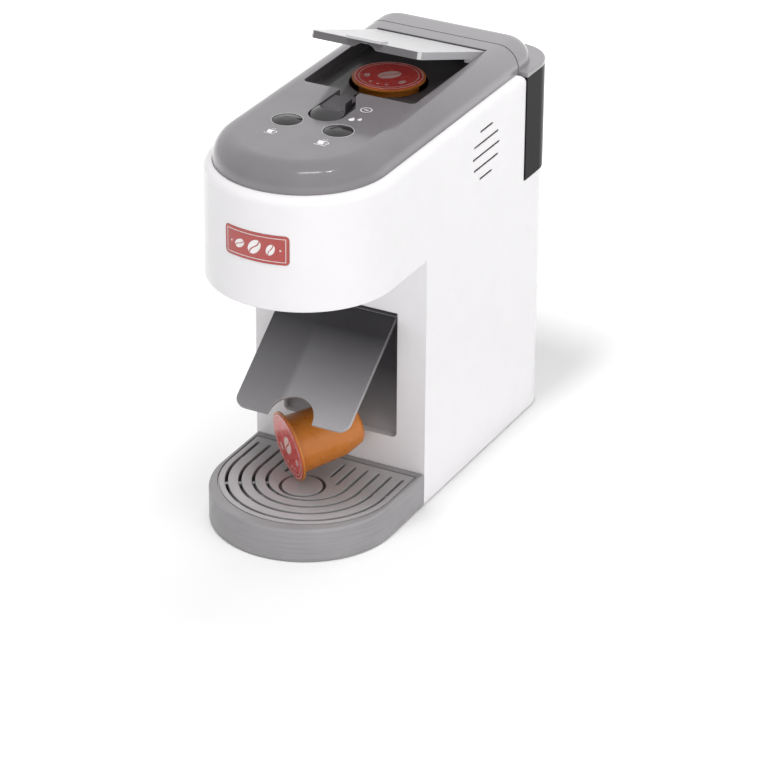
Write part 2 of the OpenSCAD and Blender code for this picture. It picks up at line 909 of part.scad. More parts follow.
// The lid shut, with the axis of its hinge on the origin
module lid_shut() {
    w = bay_w - 2 * lid_gap;
    l = lid_pin_y - lid_front;
    edge_z = barrel_r - lid_edge;
    difference() {
        union() {
            translate([0, 0, edge_z])
                linear_extrude(lid_edge)
                    lid_outline(0);
            cross_bar(w, 0, 0, barrel_r);
            // arms that hang from the sides of the lid and turn on the pin
            for (side = [-1, 1])
                slab(lid_arm_w, -lid_arm_l, 0, -lid_arm_drop, edge_z + lid_t,
                    side * (w - lid_arm_w) / 2);
            // finger tab
            slab(tab_w, -l - tab_out, -l + tab_back, barrel_r - 0.2, barrel_r + tab_t);
        }
        translate([0, 0, edge_z - cut])
            linear_extrude(lid_edge - lid_t + cut)
                intersection() {
                    lid_outline(lid_t);
                    translate([-bay_w, -2 * l])
                        square([2 * bay_w, 2 * l - barrel_r - slide_gap]);
                    // the arms stay whole
                    union() {
                        translate([-w / 2 + lid_arm_w, -l])
                            square([w - 2 * lid_arm_w, l]);
                        translate([-w / 2, -l])
                            square([w, l - lid_arm_l]);
                    }
                }
        // finger notch in the front edge, under the tab
        translate([0, -l + 2 * lid_t, edge_z - notch_drop])
            rotate([90, 0, 0])
                cylinder(h = 4 * lid_t, r = notch_r);
        cross_bar(w + 2, 0, 0, pin_r + pin_gap);
    }
}

module lid() {
    color("gainsboro")
        translate([0, lid_pin_y, lid_pin_z])
            rotate([-lid_open, 0, 0])
                lid_shut();
}

module lid_pin() {
    color("silver")
        cross_bar(bay_w + 2.8, lid_pin_y, lid_pin_z, pin_r);
}

// ---------------------------------------------------------------------
// Thumb slider, gate link, pod well and drop gate

module thumb_slider() {
    toe = pad_d / 2;
    left = channel_x - toe;
    color("dimgray") {
        difference() {
            union() {
                // crowned thumb pad
                intersection() {
                    post(channel_x, pad_at, slider_z, pad_top, toe);
                    translate([channel_x, pad_at + crown_back, pad_top - pad_crown])
                        sphere(pad_crown, $fn = 96);
                }
                // arm, which fills the channel apart from the room that its travel takes
                translate([0, 0, slider_z])
                    linear_extrude(arm_top - slider_z)
                        polygon([
                            [left, pad_at],
                            [left, arm_step],
                            [arm_right, arm_step],
                            [arm_right, bay_front - channel_taper - slider_travel],
                            [channel_x + toe, pad_at + channel_straight],
                            [channel_x + toe, pad_at]
                        ]);
            }
            // dish for the thumb
            translate([channel_x, pad_at + dish_back, top_z + dish_up])
                sphere(dish_r, $fn = 96);
        }
        // low end that runs back into the pod bay under the lid's edge
        slab(arm_w, pad_at, arm_rear, slider_z, slider_z + arm_t, left + arm_w / 2);
        // peg that works the switch
        post(channel_x, pad_at, peg_z, slider_z + 0.5, peg_r);
    }
}

module gate_link() {
    foot_z = gate_pin_z + foot_up - foot_t;
    color("silver") {
        slab(link_w, link_y, link_y + link_t, foot_z, slider_z, link_x);
        // foot that pushes the gate's crank
        slab(link_w, link_y, gate_pin_y - crank_t / 2 - crank_gap, foot_z, foot_z + foot_t, link_x);
    }
}

module pod_well() {
    color("gray")
        difference() {
            union() {
                post(0, well_at, well_bottom, bay_z - bay_t, well_r + well_t);
                // lugs that carry the gate's pin
                for (side = [-1, 1])
                    slab(lug_t, gate_pin_y - gate_barrel_r, well_at - 6, gate_pin_z - gate_barrel_r,
                        well_bottom + 10, side * (gate_w / 2 + slide_gap + lug_t / 2));
            }
            post(0, well_at, gate_pin_z - 5, bay_z, well_r);
            cross_bar(gate_w + 4 * lug_t, gate_pin_y, gate_pin_z, pin_r + 0.02);
            // room for the crank and the link's foot
            slab(crank_w + 4, gate_pin_y - 8, well_at, well_bottom - cut, gate_pin_z + crank_h + 5, link_x);
        }
}

module drop_gate() {
    color("dimgray")
        difference() {
            union() {
                cross_bar(gate_w, gate_pin_y, gate_pin_z, gate_barrel_r);
                slab(gate_w, gate_pin_y, gate_pin_y + gate_len, gate_top - gate_t, gate_top);
                // stiffening ribs under the plate
                for (x = [-12, 0, 12])
                    slab(1.6, gate_pin_y + 4, gate_pin_y + gate_len - 4,
                        gate_pin_z - 2, gate_pin_z + 0.2, x);
                // crank that the link pushes
                slab(crank_w, gate_pin_y - crank_t / 2, gate_pin_y + crank_t / 2,
                    gate_pin_z, gate_pin_z + crank_h, link_x);
            }
            cross_bar(gate_w + 2, gate_pin_y, gate_pin_z, pin_r + pin_gap);
        }
}

module gate_pin() {
    color("silver")
        cross_bar(gate_w + 2 * lug_t + 2 * slide_gap, gate_pin_y, gate_pin_z, pin_r);
}

// ---------------------------------------------------------------------
// Chute and flap

// Side view of the chute's inside, as [distance behind the column's front, height]
module chute_side(grow) {
    front = wall + 0.02 - (grow > 0 ? 0 : cut);
    top = shaft_top + (grow > 0 ? 0 : cut);
    y0 = sill_depth;
    slope_end = shaft_rear - column_y;
    rise = tan(chute_slope) * (slope_end - y0);
    polygon([
        [front, sill_z - grow],
        [y0 + grow * tan(chute_slope / 2), sill_z - grow],
        [slope_end + grow, sill_z + rise - grow / cos(chute_slope) + grow * tan(chute_slope)],
        [slope_end + grow, top],
        [shaft_front - column_y - grow, top],
        [shaft_front - column_y - grow, outlet_top_z + grow],
        [front, outlet_top_z + grow]
    ]);
}

module pod_chute() {
    color("dimgray")
        difference() {
            translate([-outlet_half - chute_t, column_y, 0])
                rotate([90, 0, 90])
                    linear_extrude(outlet_w + 2 * chute_t)
                        chute_side(chute_t);
            translate([-outlet_half, column_y, 0])
                rotate([90, 0, 90])
                    linear_extrude(outlet_w)
                        chute_side(0);
            // room for the sill of the body
            slab(outlet_w + 0.2, column_y, column_y + sill_depth, sill_z - 2 * wall, sill_z + 0.01);
        }
}

// The flap shut, hanging from the origin
module flap_shut() {
    w = outlet_w - 2 * flap_gap;
    r = flap_corner_r;
    difference() {
        union() {
            cross_bar(w, 0, 0, flap_barrel_r);
            translate([0, flap_t / 2, 0])
                rotate([90, 0, 0])
                    linear_extrude(flap_t)
                        union() {
                            translate([-w / 2, -flap_len + r])
                                square([w, flap_len - r]);
                            translate([-w / 2 + r, -flap_len])
                                square([w - 2 * r, r + 1]);
                            for (side = [-1, 1])
                                translate([side * (w / 2 - r), -flap_len + r])
                                    circle(r);
                        }
        }
        translate([0, flap_t, -flap_len])
            rotate([90, 0, 0])
                cylinder(h = 2 * flap_t, r = arch_r);
        cross_bar(w + 2, 0, 0, flap_pin_r + pin_gap);
    }
}

module chute_flap() {
    color("dimgray")
        translate([0, flap_pin_y, flap_pin_z])
            rotate([-flap_open, 0, 0])
                flap_shut();
}

module flap_pin() {
    color("silver")
        cross_bar(outlet_w + 2 * flap_pin_l - 0.4, flap_pin_y, flap_pin_z, flap_pin_r);
}

// ---------------------------------------------------------------------
// Pods

// Half section of a pod's cup, with the flange's top at height pod_h
module cup_section() {
    n = pod_neck_d / 2;
    m = pod_waist_d / 2;
    b = pod_base_d / 2;
    f = pod_flange_t;
    polygon([
        [0, 0],
        [b - 1.2, 0],
        [b, 1.2],
        [m, pod_waist_h],
        [n, pod_h - f],
        [pod_d / 2, pod_h - f],
        [pod_d / 2, pod_h - foil_t],
        [n - pod_wall, pod_h - foil_t],
        [m - pod_wall, pod_waist_h],
        [b - pod_wall, pod_wall],
        [0, pod_wall]
    ]);
}

module pod_cup() {
    rotate_extrude()
        cup_section();
}

module pod_foil() {
    post(0, 0, pod_h - foil_t, pod_h, pod_d / 2 - foil_inset);
}

module seated_pod() {
    color("peru")
        translate([0, well_at, pod_base_z])
            pod_cup();
}

module seated_pod_foil() {
    color("firebrick")
        translate([0, well_at, pod_base_z])
            pod_foil();
}

// Lays a pod on the tray, on the rims of its flange and its base
module at_outlet() {
    lift = pod_d / 2 * cos(exit_tilt) + 0.25;
    translate([exit_x, exit_y, tray_z + lift])
        rotate([0, 0, -exit_yaw])
            rotate([90 + exit_tilt, 0, 0])
                translate([0, 0, -pod_h])
                    children();
}

module exit_pod() {
    color("peru")
        at_outlet()
            pod_cup();
}

module exit_pod_foil() {
    color("firebrick")
        at_outlet()
            pod_foil();
}

// ---------------------------------------------------------------------
// Water tank, pump and hose

module water_tank() {
    color("dimgray")
        difference() {
            round_rear(tank_half, tank_front, tank_rear, tank_base, tank_top, corner_r, 0);
            round_rear(tank_half - tank_t, tank_front + tank_t, tank_rear - tank_t,
                tank_base + tank_t, tank_top + cut, corner_r - tank_t, 0);
            post(0, spigot_y, tank_base - cut, tank_base + tank_t + cut, spigot_r + 0.4);
        }
}

module tank_lid() {
    low = tank_top;
    dome_half = tank_half - tank_dome_inset;
    dome_corner = corner_r - tank_dome_inset;
    color("silver")
        difference() {
            union() {
                round_rear(tank_half, tank_front, tank_rear, low, low + flange_t, corner_r, 1);
                round_rear(dome_half, tank_front - 0.4, tank_dome_rear, low, top_z, dome_corner, dome_r);
                // rim that drops into the tank
                round_rear(tank_half - tank_t - fit_gap, tank_front + tank_t + fit_gap,
                    tank_rear - tank_t - fit_gap, low - 4, low + 0.5, corner_r - tank_t - fit_gap, 0);
            }
            round_rear(dome_half - tank_lid_t, tank_front + tank_t + 2, tank_dome_rear - tank_lid_t,
                low - 4 - cut, top_z - tank_lid_t, dome_corner - tank_lid_t, dome_r - tank_lid_t);
        }
}

module tank_valve() {
    color("black")
        difference() {
            union() {
                post(0, spigot_y, tank_base + tank_t, tank_base + tank_t + 6, 8);
                post(0, spigot_y, tank_base + tank_t, tank_base + tank_t + 9, 3);
            }
            post(0, spigot_y, tank_base - cut, tank_base + tank_t + 4, spigot_r + 0.4);
        }
}

module tank_spigot() {
    color("gray")
        difference() {
            union() {
                post(0, spigot_y, shelf_under, shelf_z - 0.05, outlet_r - 0.1);
                post(0, spigot_y, shelf_under, tank_base + tank_t + 2, spigot_r);
            }
            post(0, spigot_y, shelf_under - cut, tank_base + tank_t + 3, spigot_r - 1.2);
        }
}

module pump() {
    h = pump_w / 2;
    nozzle_x = nozzle_l / 2 - nozzle_out - h - 1;
    color("gray")
        difference() {
            union() {
                slab(pump_w, spigot_y - h + 2, spigot_y + h - 2, shelf_under - pump_h, shelf_under);
                cross_bar(nozzle_l, spigot_y, outlet_z, hose_r + nozzle_t + 0.1, nozzle_x);
            }
            cross_bar(nozzle_l + 2 * cut, spigot_y, outlet_z, hose_r + 0.1, nozzle_x - cut);
        }
}

module pump_motor() {
    color("silver") {
        post(0, spigot_y, shelf_under - pump_h - motor_h, shelf_under - pump_h, motor_d / 2);
        post(0, spigot_y, shelf_under - pump_h - motor_h - motor_cap[1], shelf_under - pump_h, motor_cap[0]);
    }
}

module pump_hose() {
    high = head_floor_z + hose_rise;
    route = [
        [nozzle_in - pump_w / 2, spigot_y, outlet_z],
        [hose_x, spigot_y, outlet_z],
        [hose_x, hose_climb[1], outlet_z],
        [hose_x, hose_climb[0], high],
        [hose_x + hose_turn[0], spout_y + hose_turn[1], high],
        [0, spout_y, high],
        [0, spout_y, spout_top]
    ];
    color("whitesmoke")
        hose(rounded(route, hose_bend), hose_r);
}

module spout() {
    under = head_floor_z - spout_drop;
    color("dimgray")
        difference() {
            union() {
                post(0, spout_y, under, spout_top, spout_r);
                post(0, spout_y, head_floor_z + wall, head_floor_z + wall + 2, spout_r + 2.5);
            }
            for (side = [-1, 1])
                post(side * 2.5, spout_y, under - cut, head_floor_z - 1, 1.2);
        }
}

// ---------------------------------------------------------------------
// Speaker

module speaker() {
    color("black")
        translate([half_w - wall - speaker_t + 0.1, speaker_y, speaker_z])
            rotate([0, 90, 0])
                difference() {
                    cylinder(h = speaker_t - 0.2, r = speaker_r);
                    translate([0, 0, 2])
                        cylinder(h = speaker_t, r1 = 8, r2 = speaker_r - 0.5);
                }
}

module speaker_magnet() {
    color("silver")
        translate([half_w - wall - speaker_t - 5.9, speaker_y, speaker_z])
            rotate([0, 90, 0])
                cylinder(h = 6, r = 9);
}

// ---------------------------------------------------------------------
// Drip tray and grille

module grille_outline(grow) {
    translate([0, grille_y])
        half_disc(grille_half + grow);
    translate([-grille_half - grow, grille_y])
        square([2 * (grille_half + grow), grille_rear + grow - grille_y]);
}

module drip_tray() {
    color("gray")
        difference() {
            union() {
                round_front(half_w, tray_rear, ground_gap, tray_z, 1.5);
                for (x = [-1, 1])
                    slab(tongue_w, tray_rear - cut, tray_rear + tongue_l,
                        tongue_z, tongue_z + tongue_h, x * tongue_x);
            }
            translate([0, 0, grille_low])
                linear_extrude(grille_t + cut)
                    grille_outline(fit_gap);
            translate([0, 0, ground_gap + tray_t])
                linear_extrude(grille_low)
                    grille_outline(-tray_t);
            for (x = [-1, 1])
                post(x * tray_foot_x, tray_foot_y, ground_gap - cut, ground_gap + 1, foot_d / 2 + 0.05);
        }
}

module tray_feet() {
    color("gray")
        for (x = [-1, 1])
            post(x * tray_foot_x, tray_foot_y, 0, ground_gap + 1, foot_d / 2);
}

// One slot that runs forward, round the front and back again
module u_slot(r) {
    half = groove_w / 2;
    difference() {
        union() {
            translate([0, grille_y])
                half_disc(r + half);
            translate([-r - half, grille_y])
                square([2 * (r + half), groove_start - grille_y]);
        }
        translate([0, grille_y])
            half_disc(r - half);
        translate([-r + half, grille_y])
            square([2 * (r - half), groove_start - grille_y + cut]);
    }
    for (side = [-1, 1])
        translate([side * r, groove_start])
            circle(half, $fn = 16);
}

module straight_slot(x, length) {
    translate([x - groove_w / 2, groove_start - length])
        square([groove_w, length]);
    for (end = [0, 1])
        translate([x, groove_start - end * length])
            circle(groove_w / 2, $fn = 16);
}

module drip_grille() {
    rib_w = 2;
    rib_h = 1;
    color("gray") {
        difference() {
            translate([0, 0, grille_low])
                linear_extrude(grille_t)
                    grille_outline(0);
            // groove round the upper edge
            translate([0, 0, tray_z - rebate_h])
                linear_extrude(rebate_h + cut)
                    difference() {
                        grille_outline(cut);
                        grille_outline(-rebate_w);
                    }
            translate([0, 0, grille_low - cut])
                linear_extrude(grille_t + 2 * cut) {
                    for (i = [0:groove_count - 1])
                        u_slot(groove_r0 + i * groove_pitch);
                    for (side = [-1, 1], i = [0, 1])
                        straight_slot(side * (groove_r0 - straight_inset[i]), straight_len[i]);
                }
            // ring round the disc in the middle
            translate([0, spout_y, tray_z - 1])
                difference() {
                    cylinder(h = cut + 1, r = disc_d / 2 + groove_w);
                    translate([0, 0, -cut])
                        cylinder(h = 3 * cut + 1, r = disc_d / 2);
                }
        }
        // ribs that tie the bars together, low enough not to show
        for (a = [-60, -30, 0, 30, 60])
            translate([0, grille_y, grille_low])
                rotate([0, 0, a])
                    slab(rib_w, -grille_half + 1, -groove_r0 + 4, 0, rib_h);
        for (side = [-1, 1])
            slab(grille_half - groove_r0 + 3, grille_y + 4, grille_y + 6, grille_low, grille_low + rib_h,
                side * (grille_half + groove_r0 - 3) / 2);
    }
}

// ---------------------------------------------------------------------

body_shell();
base_plate();
base_screws();
base_feet();
battery_box();
batteries();
battery_contacts();
battery_door();
door_screw();
top_cover();
button_small();
button_large();
spring_small();
spring_large();
circuit_board();
button_switches();
mode_switch();
board_screws();
lid();
lid_pin();
thumb_slider();
gate_link();
pod_well();
drop_gate();
gate_pin();
pod_chute();
chute_flap();
flap_pin();
seated_pod();
seated_pod_foil();
exit_pod();
exit_pod_foil();
water_tank();
tank_lid();
tank_valve();
tank_spigot();
pump();
pump_motor();
pump_hose();
spout();
speaker();
speaker_magnet();
drip_tray();
tray_feet();
drip_grille();
front_plate();
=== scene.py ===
# Toy coffee maker: finishes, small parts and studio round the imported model.
# Sizes are metres unless a name or comment says millimetres.

import math

import bmesh
import bpy
from mathutils import Matrix, Vector


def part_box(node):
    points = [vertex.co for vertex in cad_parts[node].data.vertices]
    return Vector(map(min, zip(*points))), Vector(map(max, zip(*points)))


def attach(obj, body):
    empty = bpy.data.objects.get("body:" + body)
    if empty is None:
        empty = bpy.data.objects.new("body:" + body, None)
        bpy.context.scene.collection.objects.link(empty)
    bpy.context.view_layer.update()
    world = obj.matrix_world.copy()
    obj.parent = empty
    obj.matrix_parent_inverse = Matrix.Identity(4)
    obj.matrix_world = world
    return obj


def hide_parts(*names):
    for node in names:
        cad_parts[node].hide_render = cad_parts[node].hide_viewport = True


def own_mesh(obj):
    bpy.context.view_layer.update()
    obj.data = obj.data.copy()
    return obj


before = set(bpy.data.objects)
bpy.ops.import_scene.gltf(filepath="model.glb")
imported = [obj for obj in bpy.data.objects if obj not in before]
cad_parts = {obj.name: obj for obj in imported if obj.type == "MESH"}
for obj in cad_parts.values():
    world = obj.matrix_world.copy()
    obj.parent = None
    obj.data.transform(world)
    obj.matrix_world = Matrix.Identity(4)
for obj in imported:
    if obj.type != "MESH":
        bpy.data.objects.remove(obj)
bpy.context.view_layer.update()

bl_info = {
    "name": "Toy Coffee Maker",
    "version": (1, 0, 0),
    "blender": (4, 5, 0),
    "location": "View3D > Sidebar > Coffee",
    "description": "Finishes, small parts and studio for a toy coffee maker",
    "category": "Object",
}

MM = 0.001

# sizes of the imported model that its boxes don't give
BAY_DEPTH = 6.5 * MM
BAY_SHEET = 2.0 * MM
HEAD_RADIUS = 50.0 * MM
PLATE_PROUD = 0.25 * MM
LID_ANGLE = math.radians(19.5)

# the pod well's top meets the underside of the bay's floor
COVER_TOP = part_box("pod_well")[1].z + BAY_SHEET + BAY_DEPTH
BAY_FLOOR = COVER_TOP - BAY_DEPTH
PLATE_LOW, PLATE_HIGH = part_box("front_plate")
PLATE_MIDDLE = (PLATE_LOW.z + PLATE_HIGH.z) / 2
HEAD_Y = PLATE_LOW.y + HEAD_RADIUS + PLATE_PROUD
POD_LOW, POD_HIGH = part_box("seated_pod_foil")
POD_MIDDLE = (POD_LOW + POD_HIGH) / 2
FOIL_RADIUS = (POD_HIGH.x - POD_LOW.x) / 2
BUTTONS = [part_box("button_small"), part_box("button_large")]
LID_AXIS = sum(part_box("lid_pin"), Vector()) / 2

# patches of another tone on a moulded part, most of them painted shade: two corners and the colour
# inside
# painted shade on the walls inside the speaker slots
VENT_SLOT_SHADE = [((0.0470, 0.0120, 0.1600), (0.0496, 0.0580, 0.1950), "#4A484A")]
# painted shade on the pod bay's walls and floor, in the slider's channel and under its arm
BAY_WALL_SHADE = "#4E4D4F"
BAY_FOOT = BAY_FLOOR - BAY_SHEET
BAY_SKIN = BAY_FLOOR + 0.3 * MM
BAY_RIM = COVER_TOP - 0.4 * MM
CHANNEL_RIM = COVER_TOP - 0.3 * MM
BAY_SHADE_PATCHES = [
    ((-0.0340, -0.0112, BAY_FOOT), (-0.0318, 0.0712, BAY_RIM), BAY_WALL_SHADE),
    ((0.0318, -0.0112, BAY_FOOT), (0.0340, 0.0712, BAY_RIM), BAY_WALL_SHADE),
    ((-0.0340, 0.0455, BAY_FOOT), (0.0340, 0.0728, BAY_RIM), BAY_WALL_SHADE),
    ((-0.0321, -0.0112, BAY_FOOT), (0.0321, 0.0455, BAY_SKIN), "#444244"),
    ((-0.0106, -0.0520, BAY_FOOT), (0.0094, -0.0112, CHANNEL_RIM), "#4C4A4D"),
    ((-0.0075, -0.0113, BAY_FOOT), (0.0075, 0.0070, BAY_SKIN), "#333134"),
]
# the lid's painted shade on its sides and front skirt is measured from its hinge, with the lid shut
LID_SIDE_SHADE = "#9B999C"
LID_SHADE_PATCHES = [
    ((0.0312, -0.0770, -0.0100), (0.0330, 0.0030, 0.0023), LID_SIDE_SHADE),
    ((-0.0330, -0.0770, -0.0100), (-0.0312, 0.0030, 0.0023), LID_SIDE_SHADE),
    ((-0.0500, -0.0820, -0.0100), (0.0500, -0.0760, 0.0023), "#6A686A"),
]
# painted shade in the groove round the grille's disc
DISC_GROOVE_SHADE = [((-0.0125, -0.0828, 0.0174), (0.0125, -0.0578, 0.0178), "#3C3A3C")]
SLIDER_ARM = [((-0.0120, -0.0385, 0.2000), (0.0120, 0.0100, 0.2300), "#4E4C4F")]

# painted light and shade as slow changes of tone: axis, start, end, the colour reached and its share
X, Y, Z = 0, 1, 2
# painted light: the cover paler to the rear
COVER_LIGHT_FADES = [(Y, -0.0200, 0.1000, "#9A979A", 0.9)]
FLAP_SHADE_FADES = [(Z, 0.0620, 0.0980, "#2E2C2F", 1.0), (X, -0.0060, -0.0095, "#3A383B", 0.38)]
CHUTE_LIGHT_AND_SHADE = [(Z, 0.0360, 0.0600, "#6E6C70", 1.0)]
TANK_REFLECTION_FADES = [(Y, 0.1000, 0.1060, "#3C3A3D", 0.45)]

# the cover's icons in plan; a drop is its width, x and y
CUP_SHIFT = 0.4 * MM
SMALL_CUP_Y = -74.6 * MM
LARGE_CUP_Y = -74.7 * MM
POWER_PLACE = (14.3 * MM, -28.8 * MM)
DROPS = ((3.0 * MM, 13.5 * MM, -43.0 * MM), (2.2 * MM, 17.2 * MM, -41.2 * MM))

# name, place, width, height, power, and whether a gloss shows it
LAMPS = (
    ("Key", (-0.05, -0.62, 2.40), 0.25, 0.50, 22.5, False),
    ("Right", (2.20, -0.60, 0.80), 2.20, 1.40, 17.0, False),
    ("Low", (0.55, -2.40, 0.30), 1.80, 0.60, 8.5, False),
    ("Streak", (0.55, -0.68, 2.00), 0.70, 0.22, 3.6, True),
    ("Glint", (0.97, -0.26, 1.90), 0.12, 0.12, 1.4, True),
    ("Rear", (0.30, 1.00, 0.95), 0.60, 0.40, 1.6, False),
    ("Card", (0.00, 3.00, 1.60), 5.60, 1.80, 18.0, False),
)
LAMP_AIM = Vector((0, 0, 0.1))
SKY_LIGHT = 0.4
WHITE = (1, 1, 1, 1)

CAMERA_PLACE = (0.8053, -1.5070, 0.9387)
CAMERA_AZIMUTH = math.radians(27.817)
CAMERA_ELEVATION = math.radians(27.595)
CAMERA_ROLL = math.radians(0.416)
CAMERA_LENS_MM = 171.1
CAMERA_SENSOR_MM = 36


# ---------------------------------------------------------------------------
# Colour and nodes


def linear(text):
    """An sRGB hex colour as linear red, green, blue and alpha."""
    parts = [int(text[i : i + 2], 16) / 255 for i in (1, 3, 5)]
    return (*[c / 12.92 if c <= 0.04045 else ((c + 0.055) / 1.055) ** 2.4 for c in parts], 1.0)


def add(tree, kind, inputs=None, **settings):
    """One node with its settings, values and links; a node is linked by its first output."""
    made = tree.nodes.new(kind)
    for name, value in settings.items():
        setattr(made, name, value)
    for name, value in (inputs or {}).items():
        if isinstance(value, bpy.types.Node):
            value = value.outputs[0]
        if isinstance(value, bpy.types.NodeSocket):
            tree.links.new(value, made.inputs[name])
        else:
            made.inputs[name].default_value = value
    return made


def new_material(name):
    material = bpy.data.materials.new(name)
    material.use_nodes = True
    material.node_tree.nodes.clear()
    return material


def inside_box(tree, place, low, high):
    """1 inside a box given by two corners in metres, and 0 outside."""
    middle = [(a + b) / 2 for a, b in zip(low, high)]
    half = [(b - a) / 2 for a, b in zip(low, high)]
    moved = add(tree, "ShaderNodeVectorMath", {0: place, 1: middle}, operation="SUBTRACT")
    scaled = add(tree, "ShaderNodeVectorMath", {0: moved, 1: half}, operation="DIVIDE")
    size = add(tree, "ShaderNodeVectorMath", {0: scaled}, operation="ABSOLUTE")
    x, y, z = add(tree, "ShaderNodeSeparateXYZ", {0: size}).outputs
    most = add(tree, "ShaderNodeMath", {0: x, 1: y}, operation="MAXIMUM")
    most = add(tree, "ShaderNodeMath", {0: most, 1: z}, operation="MAXIMUM")
    return add(tree, "ShaderNodeMath", {0: most, 1: 1.0}, operation="LESS_THAN")


def seen(tree):
    """1 for rays that show the background: to the camera, off a gloss or through a clear part."""
    rays = add(tree, "ShaderNodeLightPath").outputs
    camera, glossy, through = rays["Is Camera Ray"], rays["Is Glossy Ray"], rays["Is Transmission Ray"]
    direct = add(tree, "ShaderNodeMath", {0: camera, 1: glossy}, operation="MAXIMUM")
    return add(tree, "ShaderNodeMath", {0: direct, 1: through}, operation="MAXIMUM")


def moulded(
    name,
    colour,
    other,
    roughness,
    grain_mm,
    relief_mm,
    edge=None,
    edge_mm=0.5,
    masks=(),
    fades=(),
    tint_mm=18.0,
    streak=None,
    hinge=None,
    **shader,
):
    """A moulded surface: two close tones, a fine relief, soft edges and paler edges, partly wear and
    partly a painted highlight.

    masks are duller patches with a colour of their own, most of them painted shade, turned with
    the hinge (its place and angle) if there is one. Each fade is an axis, a start, an end, the colour
    reached there and its share; the fades paint light and shade.
    """
    material = new_material(name)
    tree = material.node_tree
    place = add(tree, "ShaderNodeTexCoord").outputs["Object"]
    cloud = {"Vector": place, "Scale": 1000 / tint_mm, "Detail": 3.0}
    cloud = add(tree, "ShaderNodeTexNoise", cloud)
    # each layer is a factor and the colour that it lays over the ones before
    layers = [(add(tree, "ShaderNodeMapRange", {0: cloud, 1: 0.35, 2: 0.65}), other)]
    if streak:
        # fine level lines left by the mould's finish
        line_mm = 0.9
        drawn = add(tree, "ShaderNodeMapping", {"Vector": place, "Scale": (0.03, 0.03, 1.0)})
        lines = {"Vector": drawn, "Scale": 1000 / line_mm, "Detail": 3.0}
        lines = add(tree, "ShaderNodeTexNoise", lines)
        lines = add(tree, "ShaderNodeMapRange", {0: lines, 1: 0.35, 2: 0.65, 4: 0.7})
        layers.append((lines, streak))
    for axis, start, end, shade, share in fades:
        along = add(tree, "ShaderNodeSeparateXYZ", {0: place}).outputs[axis]
        part = add(tree, "ShaderNodeMapRange", {0: along, 1: start, 2: end, 4: share})
        layers.append((part, shade))
    spot = place
    if hinge:
        axis_place, angle = hinge
        spot = add(tree, "ShaderNodeVectorMath", {0: place, 1: axis_place}, operation="SUBTRACT")
        spot = add(tree, "ShaderNodeMapping", {"Vector": spot, "Rotation": (angle, 0.0, 0.0)})
    cloud = {"Vector": place, "Scale": 3000 / tint_mm, "Detail": 3.0}
    cloud = add(tree, "ShaderNodeTexNoise", cloud)
    low, high = roughness
    rough = add(tree, "ShaderNodeMapRange", {0: cloud, 1: 0.35, 2: 0.65, 3: low, 4: high})
    for low, high, shade in masks:
        inside = inside_box(tree, spot, low, high)
        layers.append((inside, shade))
        rough = add(tree, "ShaderNodeMapRange", {0: inside, 3: rough, 4: 0.5})
    rounded = add(tree, "ShaderNodeBevel", {"Radius": edge_mm * MM}, samples=4)
    if edge:
        # the more the rounded normal turns from the flat one, the paler the edge: partly wear, partly
        # a painted highlight
        flat = add(tree, "ShaderNodeNewGeometry").outputs["Normal"]
        turn = add(tree, "ShaderNodeVectorMath", {0: rounded, 1: flat}, operation="DOT_PRODUCT")
        turn = turn.outputs["Value"]
        worn_and_lit_edge = add(tree, "ShaderNodeMapRange", {0: turn, 1: 0.86, 2: 0.995, 3: 0.55, 4: 0.0})
        layers.append((worn_and_lit_edge, edge))
    base = linear(colour)
    for factor, shade in layers:
        mix = {0: factor, 6: base, 7: linear(shade)}
        base = add(tree, "ShaderNodeMix", mix, data_type="RGBA").outputs[2]
    fine = {"Vector": place, "Scale": 1000 / grain_mm, "Detail": 2.0}
    fine = add(tree, "ShaderNodeTexNoise", fine)
    relief = {"Strength": 0.6, "Distance": relief_mm * MM, "Height": fine, "Normal": rounded}
    relief = add(tree, "ShaderNodeBump", relief)
    surface = {"Base Color": base, "Roughness": rough, "Normal": relief, **shader}
    surface = add(tree, "ShaderNodeBsdfPrincipled", surface)
    add(tree, "ShaderNodeOutputMaterial", {"Surface": surface})
    return material


def brushed(name, colour, other, roughness, grain_mm, stretch):
    """Metal drawn or turned along one axis: fine lines, long one way."""
    material = new_material(name)
    tree = material.node_tree
    place = add(tree, "ShaderNodeTexCoord").outputs["Object"]
    pulled = add(tree, "ShaderNodeMapping", {"Vector": place, "Scale": stretch})
    lines = {"Vector": pulled, "Scale": 1000 / grain_mm, "Detail": 2.0}
    lines = add(tree, "ShaderNodeTexNoise", lines)
    tone = add(tree, "ShaderNodeMapRange", {0: lines, 1: 0.35, 2: 0.65})
    mix = {0: tone, 6: linear(colour), 7: linear(other)}
    base = add(tree, "ShaderNodeMix", mix, data_type="RGBA").outputs[2]
    low, high = roughness
    rough = add(tree, "ShaderNodeMapRange", {0: lines, 1: 0.35, 2: 0.65, 3: low, 4: high})
    rounded = add(tree, "ShaderNodeBevel", {"Radius": 0.2 * MM}, samples=4)
    relief = {"Strength": 0.4, "Distance": 0.01 * MM, "Height": lines, "Normal": rounded}
    relief = add(tree, "ShaderNodeBump", relief)
    surface = {"Base Color": base, "Roughness": rough, "Normal": relief, "Metallic": 1.0}
    surface = add(tree, "ShaderNodeBsdfPrincipled", surface)
    add(tree, "ShaderNodeOutputMaterial", {"Surface": surface})
    return material


# ---------------------------------------------------------------------------
# Sizes and colours that a user would change


